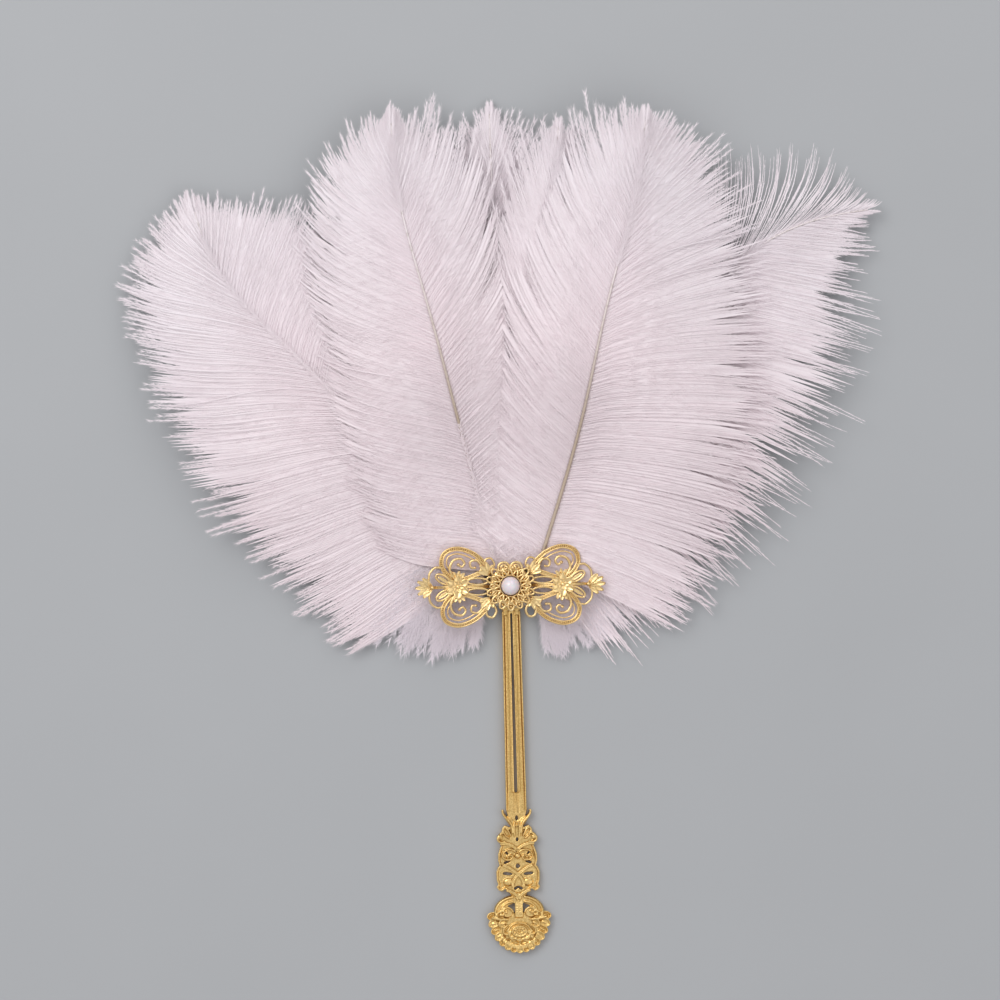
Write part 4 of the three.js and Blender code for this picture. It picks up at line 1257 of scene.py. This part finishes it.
@dataclass
class Handle:
    """The cast gilt handle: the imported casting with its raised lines, curls, petals and beads melted on."""

    voxel: float = 0.00025
    softening: int = 2
    kept: float = 0.55
    leaf_line: tuple = (
        (6.5, -104.9), (6.45, -106.6), (5.3, -108.6), (3.4, -110.6), (2.4, -112.6), (2.0, -116.2),
    )
    stem_line: tuple = ((0.9, -110.6), (1.2, -114.0), (1.0, -117.8))
    lobe_lines: tuple = (
        ((2.9, -117.6), (3.7, -115.6), (5.0, -113.7)),
        ((3.6, -118.6), (5.4, -117.2), (6.3, -115.4)),
    )
    curl_line: tuple = (
        (5.4, -119.9), (7.3, -120.4), (8.9, -119.5), (9.1, -118.0), (8.1, -117.2), (7.2, -117.8),
        (7.6, -118.7),
    )
    band_lines: tuple = (
        ((8.0, -120.9), (5.2, -121.0), (2.6, -121.9), (0.3, -123.6)),
        ((6.9, -130.9), (4.2, -132.2), (1.2, -134.4), (-1.4, -137.0), (-2.6, -139.8), (-2.0, -141.6)),
        ((5.6, -142.7), (3.2, -143.6), (0.9, -145.2), (-1.2, -147.0)),
    )
    body_line: tuple = (
        (0.6, -125.2), (2.6, -123.9), (4.9, -124.0), (6.6, -125.4), (6.9, -127.4), (5.2, -128.6),
        (3.1, -128.4), (2.3, -127.0), (3.4, -126.2),
    )
    arch_scroll: tuple = (
        (2.6, -153.3), (3.7, -151.6), (5.4, -150.9), (6.9, -151.6), (7.1, -152.9), (6.0, -153.3),
        (5.4, -152.5),
    )
    blob: tuple = (4.6, -139.0)
    arch_outer: tuple = (
        (2.4, -145.9), (5.8, -146.8), (8.8, -148.6), (10.6, -151.1), (11.0, -153.8), (10.8, -156.2),
    )
    arch_inner: tuple = ((2.6, -148.2), (5.4, -148.8), (7.5, -150.4), (8.5, -152.6), (8.6, -155.0))
    heart: tuple = (0.0, -162.05)
    lotus_centre: tuple = (0.0, -153.45)
    lotus_half: tuple = (14.9, 18.8)
    petal_rows: tuple = ((15, 1.0, (2.6, 1.75), 2.35), (9, 0.7, (2.3, 1.8), 2.9))

    def tines(self, work: Metalwork) -> None:
        """Adds the raised lines of the tines and the panel.

        Args:
            work: The metalwork to add them to.
        """
        for across, reach, radius in ((4.0, 0.47, 0.36), (1.5, 0.3, 0.26)):
            rim = np.array([(across, -12.0), (across + reach, -97.0)])
            work.wire(curved(rim, 20), radius, 3.35, Mirror.SIDES)
        work.wire(curved(((4.45, -97.0), (4.45, -101.0), (4.5, -105.5)), 12), 0.4, 3.40, Mirror.SIDES)
        work.wire(curved(((0.75, -97.0), (0.65, -100.0), (0.9, -106.5)), 12), 0.25, 2.75, Mirror.SIDES)

    def ornament(self, work: Metalwork) -> None:
        """Adds the leaves, curls and crossing bands.

        Args:
            work: The metalwork to add them to.
        """
        work.wire(curved(self.leaf_line), 0.55, 3.20, Mirror.SIDES)
        work.wire(curved(self.stem_line), 0.42, 3.15, Mirror.SIDES)
        for line in self.lobe_lines:
            work.wire(curved(line, 14), 0.42, 2.80, Mirror.SIDES)
        work.wire(curved(self.curl_line), 0.5, 3.25, Mirror.SIDES)
        for line in self.band_lines:
            work.wire(beside(curved(line), 0.42), 0.36, 3.20, Mirror.SIDES)
            work.wire(beside(curved(line), -0.42), 0.36, 3.20, Mirror.SIDES)
        work.wire(curved(self.body_line), 0.45, 2.90, Mirror.SIDES)
        work.beads(self.blob, 1.0, 2.2, Mirror.SIDES, (2.5, 1.9, 1.0))
        work.beads(np.array([(4.5, -127.3), (8.1, -118.1)]), 0.7, 2.9, Mirror.SIDES)
        work.beads((0.0, -126.8), 1.0, 2.3, stretch=(1.5, 1.2, 0.9))

    def arch(self, work: Metalwork) -> None:
        """Adds the arch's double line, its curls and its beaded stem.

        Args:
            work: The metalwork to add them to.
        """
        work.wire(curved(self.arch_outer), 0.9, 1.7, Mirror.SIDES)
        for line in (self.arch_outer, self.arch_inner):
            work.wire(curved(line), 0.48, 3.0, Mirror.SIDES)
        work.wire(curved(self.arch_scroll), 0.45, 3.05, Mirror.SIDES)
        work.beads(spaced(np.array([(0.7, -147.0), (0.7, -154.2)]), 1.05), 0.4, 2.8, Mirror.SIDES)

    def lotus(self, work: Metalwork) -> None:
        """Adds the petals' rims and ribs, the heart's ring and its beads.

        Args:
            work: The metalwork to add them to.
        """
        for count, reach, half, height in self.petal_rows:
            for turn in np.linspace(185.0, 355.0, count):
                way = way_at(turn)
                middle = self.lotus_centre + way * (reach * np.array(self.lotus_half) - half[0])
                work.wire(oval(middle, half, -120.0, 120.0, turn, 18), 0.36, height + 0.4)
                work.beads(middle, 0.36 * half[1], height + 0.2, turn=turn, stretch=(2.4, 1.0, 0.8))
        work.wire(oval(self.heart, (5.3, 3.9)), 0.42, 3.35)
        work.wire(oval(self.heart, (3.3, 2.4)), 0.42, 3.7)
        work.beads(spaced(oval(self.heart, (2.1, 1.35)), 1.2), 0.48, 3.75)
        work.beads(self.heart, 0.55, 3.75)
        work.wire(curved(((4.8, -156.6), (9.0, -156.3), (13.0, -155.4)), 12), 0.6, 3.2, Mirror.SIDES)

    def build(self, gilt: bpy.types.Material) -> None:
        """Melts everything into one casting.

        Args:
            gilt: Its material.
        """
        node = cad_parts["handle"]
        casting = node.data.copy()
        casting.transform(node.matrix_world)
        work = Metalwork("handle_casting")
        work.solids.append(closed_mesh(casting, 1e-6))
        for add in (self.tines, self.ornament, self.arch, self.lotus):
            add(work)
        piece = link("handle_casting_parts", work.mesh())
        melt = piece.modifiers.new("melt", "REMESH")
        melt.mode = "VOXEL"
        melt.voxel_size = self.voxel
        soften = piece.modifiers.new("soften", "SMOOTH")
        soften.iterations = self.softening
        thin = piece.modifiers.new("thin", "DECIMATE")
        thin.ratio = self.kept
        depsgraph = bpy.context.evaluated_depsgraph_get()
        mesh = bpy.data.meshes.new_from_object(piece.evaluated_get(depsgraph))
        bpy.data.objects.remove(piece)
        mesh.shade_smooth()
        settle("handle_casting", "handle", mesh, gilt)


@dataclass
class Butterfly:
    """The stamped filigree wings on their hub."""

    lobe: tuple = (
        (10.7, 8.5), (16.0, 14.8), (24.0, 17.9), (30.3, 15.9), (31.9, 10.4), (28.5, 5.0), (24.0, 3.2),
        (17.0, 5.2),
    )
    hook: tuple = (
        (25.9, 3.7), (28.1, 8.1), (26.6, 12.2), (23.0, 13.2), (21.2, 11.2), (22.4, 9.4), (24.0, 10.4),
    )
    tie: tuple = ((37.9, 1.5), (37.7, 6.3), (34.8, 9.3), (31.2, 8.9))
    curl: tuple = (
        (14.6, 6.0), (13.2, 9.2), (15.4, 12.2), (18.4, 11.6), (18.2, 9.0), (16.4, 8.8),
    )
    knot: tuple = (
        (10.7, -8.2), (8.0, -9.0), (6.9, -11.6), (8.4, -14.4), (10.9, -13.9), (11.6, -11.2), (10.9, -8.6),
    )
    leaf_foot: tuple = (9.3, 5.6)
    leaves: tuple = ((12.0, 5.6), (42.0, 6.4), (72.0, 6.2), (104.0, 4.6))
    sprigs: tuple = (62.0, 96.0, 130.0)
    oval_middle: tuple = (15.2, 2.4)
    flower: tuple = (24.5, 0.0)
    leaf_middle: tuple = (31.4, 3.7)
    bud_foot: tuple = (36.4, 0.0)
    plate: float = 9.9

    def lobes(self, work: Metalwork) -> None:
        """Adds the rims of the four lobes with their hooks and beads.

        Args:
            work: The metalwork to add them to.
        """
        rim = curved(self.lobe, 72, True)
        work.wire(rim, 0.95, self.plate + 0.45, Mirror.ALL, Section.BAND)
        work.wire(beside(rim, 0.7), 0.4, self.plate + 0.6, Mirror.ALL)
        work.wire(beside(rim, -0.7), 0.44, self.plate + 0.65, Mirror.ALL)
        work.beads(spaced(rim[4:50], 0.9), 0.42, self.plate + 0.8, Mirror.ALL)
        work.wire(beside(rim, -2.4)[8:46], 0.34, self.plate + 0.5, Mirror.ALL)
        for path, ball in ((curved(self.hook, 40), 0.85), (curved(self.curl, 32), 0.75)):
            thin = np.linspace(0.7, 0.5, len(path))
            work.wire(path, thin, self.plate + 0.6, Mirror.ALL)
            work.beads(path[-1:], ball, self.plate + 0.65, Mirror.ALL)
        for angle, length in self.leaves:
            work.petal(self.leaf_foot, (length, 2.1), angle, self.plate + 0.9, 0.5, 0.35, Mirror.ALL)
        for angle in self.sprigs:
            work.petal((24.2, 3.0), (4.6, 1.9), angle, self.plate + 0.7, 0.5, 0.35, Mirror.ALL)
        loop = curved(self.knot, 30)
        work.wire(loop, 0.62, self.plate + 0.55, Mirror.SIDES)
        work.wire(loop * (1.0, -0.9) + (0.4, 0.0), 0.5, self.plate + 0.55, Mirror.SIDES)
        work.wire(curved(self.tie, 24), 0.55, self.plate + 0.45, Mirror.ALL)

    def middle(self, work: Metalwork) -> None:
        """Adds the stem, the ovals beside it, the flower, the leaves and the bud.

        Args:
            work: The metalwork to add them to.
        """
        work.wire(np.array([(8.0, 0.35), (38.0, 0.3)]), 0.42, self.plate + 0.5, Mirror.ALL)
        work.wire(oval(self.oval_middle, (4.9, 1.5)), 0.5, self.plate + 0.55, Mirror.ALL)
        for turn in range(0, 360, 60):
            foot = tuple(self.flower + 0.8 * way_at(turn + 30.0))
            work.petal(foot, (4.8, 3.7), turn + 30.0, self.plate + 0.8, 0.9, 0.6, Mirror.SIDES)
            work.petal(tuple(self.flower), (3.0, 2.0), turn, self.plate + 1.4, 0.7, 0.4, Mirror.SIDES)
        work.beads(self.flower, 1.1, self.plate + 1.3, Mirror.SIDES, (1.0, 1.0, 0.8))
        work.beads(spaced(oval(self.flower, (1.7, 1.7)), 1.1), 0.4, self.plate + 1.4, Mirror.SIDES)
        work.wire(oval(self.leaf_middle, (3.7, 1.8), turn=33.0), 0.55, self.plate + 0.6, Mirror.ALL)
        work.petal((28.6, 1.8), (6.2, 1.7), 33.0, self.plate + 0.3, 0.3, 0.2, Mirror.ALL)
        for turn, length in ((0.0, 8.0), (24.0, 7.6), (46.0, 6.4)):
            mirror = Mirror.ALL if turn else Mirror.SIDES
            work.petal(self.bud_foot, (length, 2.5), turn, self.plate + 0.6, 0.7, 0.5, mirror)
        work.beads(self.bud_foot, 1.0, self.plate + 0.8, Mirror.SIDES)

    def build(self, gilt: bpy.types.Material) -> None:
        """Joins hub and wings.

        Args:
            gilt: Their material.
        """
        work = Metalwork("butterfly_filigree")
        top = self.plate + 0.8
        work.lathe(((0.0, self.plate), (9.3, self.plate), (9.6, self.plate + 0.3), (9.4, top), (8.6, top),
                    (8.2, self.plate + 0.5), (0.0, self.plate + 0.5)))
        self.lobes(work)
        self.middle(work)
        work.settle("butterfly", gilt, "gilt_filigree")


@dataclass
class Rosette:
    """The ring of wire loops round the pearl."""

    foot: float = 11.0
    loops: int = 14

    def zigzag(self, work: Metalwork) -> None:
        """Adds the two woven loops round the setting.

        Args:
            work: The metalwork to add them to.
        """
        turn = np.linspace(0.0, math.tau, 241)
        for phase, middle, swing, radius, up in ((0.0, 6.5, 1.3, 0.5, 1.75), (math.pi, 8.3, 1.2, 0.46, 1.05)):
            reach = middle + swing * np.cos(self.loops * turn + phase)
            height = self.foot + up + 0.35 * np.sin(self.loops * turn + phase)
            work.wire(np.stack([reach * np.sin(turn), reach * np.cos(turn)], axis=1), radius, height)

    def scallops(self, work: Metalwork) -> None:
        """Adds the loops below and the twin arches above.

        Args:
            work: The metalwork to add them to.
        """
        for turn in (-162.0, -138.0, -114.0, -90.0, -66.0, -42.0, -18.0):
            way = way_at(turn)
            work.wire(oval(9.1 * way, (2.3, 1.4), turn=turn), 0.5, self.foot + 0.7)
            work.beads(9.8 * way, 0.6, self.foot + 0.6)
        for turn in (18.0, 42.0):
            way = way_at(turn)
            work.wire(oval(9.1 * way, (2.3, 1.4), turn=turn), 0.5, self.foot + 0.7, Mirror.SIDES)
        work.wire(oval((2.9, 8.7), (2.6, 2.3), -20.0, 215.0), 0.6, self.foot + 0.8, Mirror.SIDES)
        work.wire(oval((2.9, 8.6), (1.3, 1.2), -30.0, 240.0), 0.48, self.foot + 0.7, Mirror.SIDES)

    def build(self, gilt: bpy.types.Material) -> None:
        """Joins the ring and its loops.

        Args:
            gilt: Their material.
        """
        work = Metalwork("rosette_filigree")
        work.lathe(((5.6, self.foot), (9.0, self.foot), (9.2, self.foot + 0.25), (9.0, self.foot + 0.5),
                    (5.6, self.foot + 0.6), (5.6, self.foot)))
        self.zigzag(work)
        self.scallops(work)
        work.settle("rosette", gilt, "gilt_filigree")


@dataclass
class PearlSetting:
    """The gilt cup with its claws, and the half pearl in it."""

    floor: float = 11.0
    cup_radius: float = 5.2
    pearl_radius: float = 4.4
    pearl_foot: float = 11.9
    pearl_height: float = 5.2
    claws: int = 16

    def build(self, gilt: bpy.types.Material, lustre: bpy.types.Material) -> None:
        """Builds the cup and the pearl.

        Args:
            gilt: The cup's material.
            lustre: The pearl's material.
        """
        work = Metalwork("pearl_setting")
        rim = self.floor + 1.9
        inner = self.cup_radius - 0.5
        work.lathe((
            (0.0, self.floor), (4.9, self.floor), (self.cup_radius, self.floor + 0.3),
            (self.cup_radius, rim - 0.1), (self.cup_radius - 0.15, rim), (inner, rim),
            (inner, self.floor + 0.7), (0.0, self.floor + 0.6),
        ))
        ring = spaced(oval((0.0, 0.0), (5.0, 5.0), count=97), math.tau * 5.0 / self.claws)
        work.beads(ring, 0.42, rim, stretch=(1.0, 1.0, 0.8))
        work.settle("pearl_cup", gilt, "gilt_filigree")
        dome = Metalwork("half_pearl")
        arc = [(self.pearl_radius * math.cos(a), self.pearl_foot + self.pearl_height * math.sin(a))
               for a in np.linspace(0.0, math.pi / 2.0, 15)]
        dome.lathe(((0.0, self.pearl_foot), (self.pearl_radius - 0.2, self.pearl_foot), *arc[:-1],
                    (0.0, self.pearl_foot + self.pearl_height)), 64)
        dome.settle("pearl", lustre, "pearl")


@dataclass
class Mount:
    """The hidden pieces between the quills and the brooch, and the cover behind them."""

    cover_radius: float = 10.2
    pad_radius: float = 9.6
    pad_foot: float = 8.8
    turns: int = 7
    wound_half: tuple = (9.2, 3.4)
    wound_height: float = 4.8
    wound_from: float = -9.1
    wound_to: float = -5.7

    def cover(self, brass: bpy.types.Material) -> None:
        """Builds the stamped cover.

        Args:
            brass: Its material.
        """
        work = Metalwork("stamped_cover")
        profile = (
            (0.0, 0.12), (5.0, 0.12), (5.4, 0.0), (9.6, 0.0), (10.1, 0.2), (self.cover_radius, 0.5),
            (10.0, 0.8), (9.4, 0.62), (7.2, 0.62), (6.8, 0.8), (6.4, 0.62), (0.0, 0.62),
        )
        work.lathe(profile, 144, 18, 0.35)
        work.beads(spaced(oval((0.0, 0.0), (8.3, 8.3), count=97), 1.3), 0.3, 0.6)
        work.settle("back_cover", brass, "brass_cover")

    def pad(self, felt: bpy.types.Material) -> None:
        """Builds the felt pad with its loose fibres.

        Args:
            felt: Its material.
        """
        work = Metalwork("felt_pad")
        foot, edge = self.pad_foot, self.pad_radius
        work.lathe((
            (0.0, foot), (edge - 0.2, foot), (edge, foot + 0.25), (edge, foot + 0.55),
            (edge - 0.25, foot + 0.8), (0.0, foot + 0.8),
        ))
        rng = np.random.default_rng(5)
        for turn in rng.uniform(0.0, math.tau, 260):
            way = np.array([math.cos(turn), math.sin(turn)])
            reach = rng.uniform(0.15, 0.45)
            drift = rng.uniform(-0.3, 0.3) * np.array([-way[1], way[0]])
            path = np.array([(edge - 0.1) * way, (edge + reach) * way + drift])
            work.wire(path, np.array([0.05, 0.01]), foot + rng.uniform(0.2, 0.6), section=Section.HAIR)
        work.settle("front_pad", felt, "felt")

    def winding(self, thread: bpy.types.Material) -> None:
        """Builds the thread wound round the quills.

        Args:
            thread: Its material.
        """
        angle = np.linspace(0.0, math.tau * self.turns, 72 * self.turns + 1)
        across, upward = np.cos(angle), np.sin(angle)
        swell = 1.0 / (np.abs(across) ** 7 + np.abs(upward) ** 7) ** (1.0 / 7.0)
        line = np.stack([
            self.wound_half[0] * swell * across,
            np.linspace(self.wound_from, self.wound_to, len(angle)),
            self.wound_height + self.wound_half[1] * swell * upward,
        ], axis=1)
        radius = MM * (0.29 + 0.02 * np.sin(angle * 23.0))
        mesh = strand_mesh("thread_winding", Section.WIRE, [MM * line], [radius])
        mesh.shade_smooth()
        settle("thread_winding", "quill_binding", mesh, thread)


@dataclass
class Studio:
    """Pale floor, soft lamps, and the camera straight above."""

    floor_colour: tuple = (0.44, 0.45, 0.465)
    world_colour: tuple = (0.86, 0.86, 0.87)
    horizon_colour: tuple = (0.32, 0.32, 0.33)
    frame_width: float = 0.465
    camera_height: float = 1.6
    camera_across: float = -0.0038
    camera_along: float = 0.0401
    camera_turn: float = -1.52

    def floor(self) -> None:
        """Lays the floor."""
        mesh = bpy.data.meshes.new("floor")
        bm = bmesh.new()
        bmesh.ops.create_grid(bm, x_segments=1, y_segments=1, size=6.0)
        bmesh.ops.translate(bm, verts=bm.verts, vec=(0.0, 0.0, -0.0002))
        bm.to_mesh(mesh)
        bm.free()
        piece = link("floor", mesh)
        shader = Shader("floor_paint")
        grain = shader.mix(shader.noise(9.0), self.floor_colour, tuple(0.94 * c for c in self.floor_colour))
        shader.paint(grain, {"Roughness": 0.85})
        mesh.materials.append(shader.material)

    def lamp(self, name: str, size: float, power: float, place: tuple, aim: tuple = (0.0, 0.06, 0.0)) -> None:
        """Adds a square soft lamp.

        Args:
            name: The lamp's name.
            size: Its side.
            power: Its power in watts.
            place: Where it stands.
            aim: What it points at.
        """
        light = bpy.data.lights.new(name, "AREA")
        light.size = size
        light.energy = power
        lamp = bpy.data.objects.new(name, light)
        lamp.location = place
        lamp.rotation_euler = (Vector(aim) - Vector(place)).to_track_quat("-Z", "Y").to_euler()
        bpy.context.scene.collection.objects.link(lamp)

    def build(self) -> None:
        """Builds the floor, the world, the lamps and the camera."""
        scene = bpy.context.scene
        scene.view_settings.view_transform = "Standard"
        self.floor()
        world = bpy.data.worlds.new("studio")
        world.use_nodes = True
        background = world.node_tree.nodes["Background"]
        nodes, links = world.node_tree.nodes, world.node_tree.links
        way = nodes.new("ShaderNodeTexCoord")
        parts = nodes.new("ShaderNodeSeparateXYZ")
        links.new(way.outputs["Generated"], parts.inputs["Vector"])
        ramp = nodes.new("ShaderNodeValToRGB")
        low, high = ramp.color_ramp.elements
        low.position, high.position = 0.05, 0.75
        low.color, high.color = (*self.horizon_colour, 1.0), (*self.world_colour, 1.0)
        links.new(parts.outputs["Z"], ramp.inputs["Fac"])
        links.new(ramp.outputs["Color"], background.inputs["Color"])
        background.inputs["Strength"].default_value = 0.8
        scene.world = world
        self.lamp("key", 1.2, 14.5, (-0.9, 0.9, 1.5))
        self.lamp("fill", 1.6, 5.0, (1.2, -0.7, 1.6))
        self.lamp("rim", 0.8, 3.4, (0.6, 1.5, 0.8))
        lens = bpy.data.cameras.new("camera")
        lens.sensor_fit = "HORIZONTAL"
        lens.angle = 2.0 * math.atan(self.frame_width / 2.0 / self.camera_height)
        lens.clip_end = 50.0
        camera = bpy.data.objects.new("camera", lens)
        camera.location = (self.camera_across, self.camera_along, self.camera_height + 0.015)
        camera.rotation_euler = (0.0, 0.0, math.radians(self.camera_turn))
        scene.collection.objects.link(camera)
        scene.camera = camera


def main() -> None:
    """Builds the fan and its studio, part by part."""
    logging.basicConfig(level=logging.INFO, format="%(name)s: %(message)s")
    Studio().build()
    feather = FeatherFinish().make("ostrich_barbs")
    fluff = FeatherFinish((0.90, 0.83, 0.88), (0.90, 0.83, 0.88), (0.90, 0.84, 0.89)).make("ostrich_down")
    horn = ShaftFinish().make("shaft_horn")
    # Each gilt finish paints shade darker into its hollows; the filigree's painted shade is lighter and
    # reaches less far.
    gilt = GiltFinish().make("gilt")
    filigree = GiltFinish(
        body=(0.92, 0.63, 0.27), bright=(0.98, 0.77, 0.42), dark=(0.60, 0.37, 0.12), roughness=0.24,
        grain=1100.0, grain_depth=0.0001, painted_shade_reach=0.0008, painted_shade_span=(0.25, 0.75), speckle=0.2,
    ).make("bright_gilt")
    brass = GiltFinish((0.62, 0.42, 0.14), (0.76, 0.56, 0.24), roughness=0.38).make("satin_brass")
    Handle().build(gilt)
    Butterfly().build(filigree)
    Rosette().build(filigree)
    PearlSetting().build(filigree, PearlFinish().make("pearl_lustre"))
    mount = Mount()
    mount.cover(brass)
    mount.pad(ClothFinish((0.80, 0.75, 0.71), (0.62, 0.56, 0.52), 1800.0).make("pressed_felt"))
    mount.winding(ClothFinish((0.86, 0.83, 0.77), (0.66, 0.61, 0.54), 2600.0, 0.6).make("waxed_thread"))
    for plume in PLUMES:
        plume.build(feather, fluff, horn)


if __name__ == "__main__":
    main()
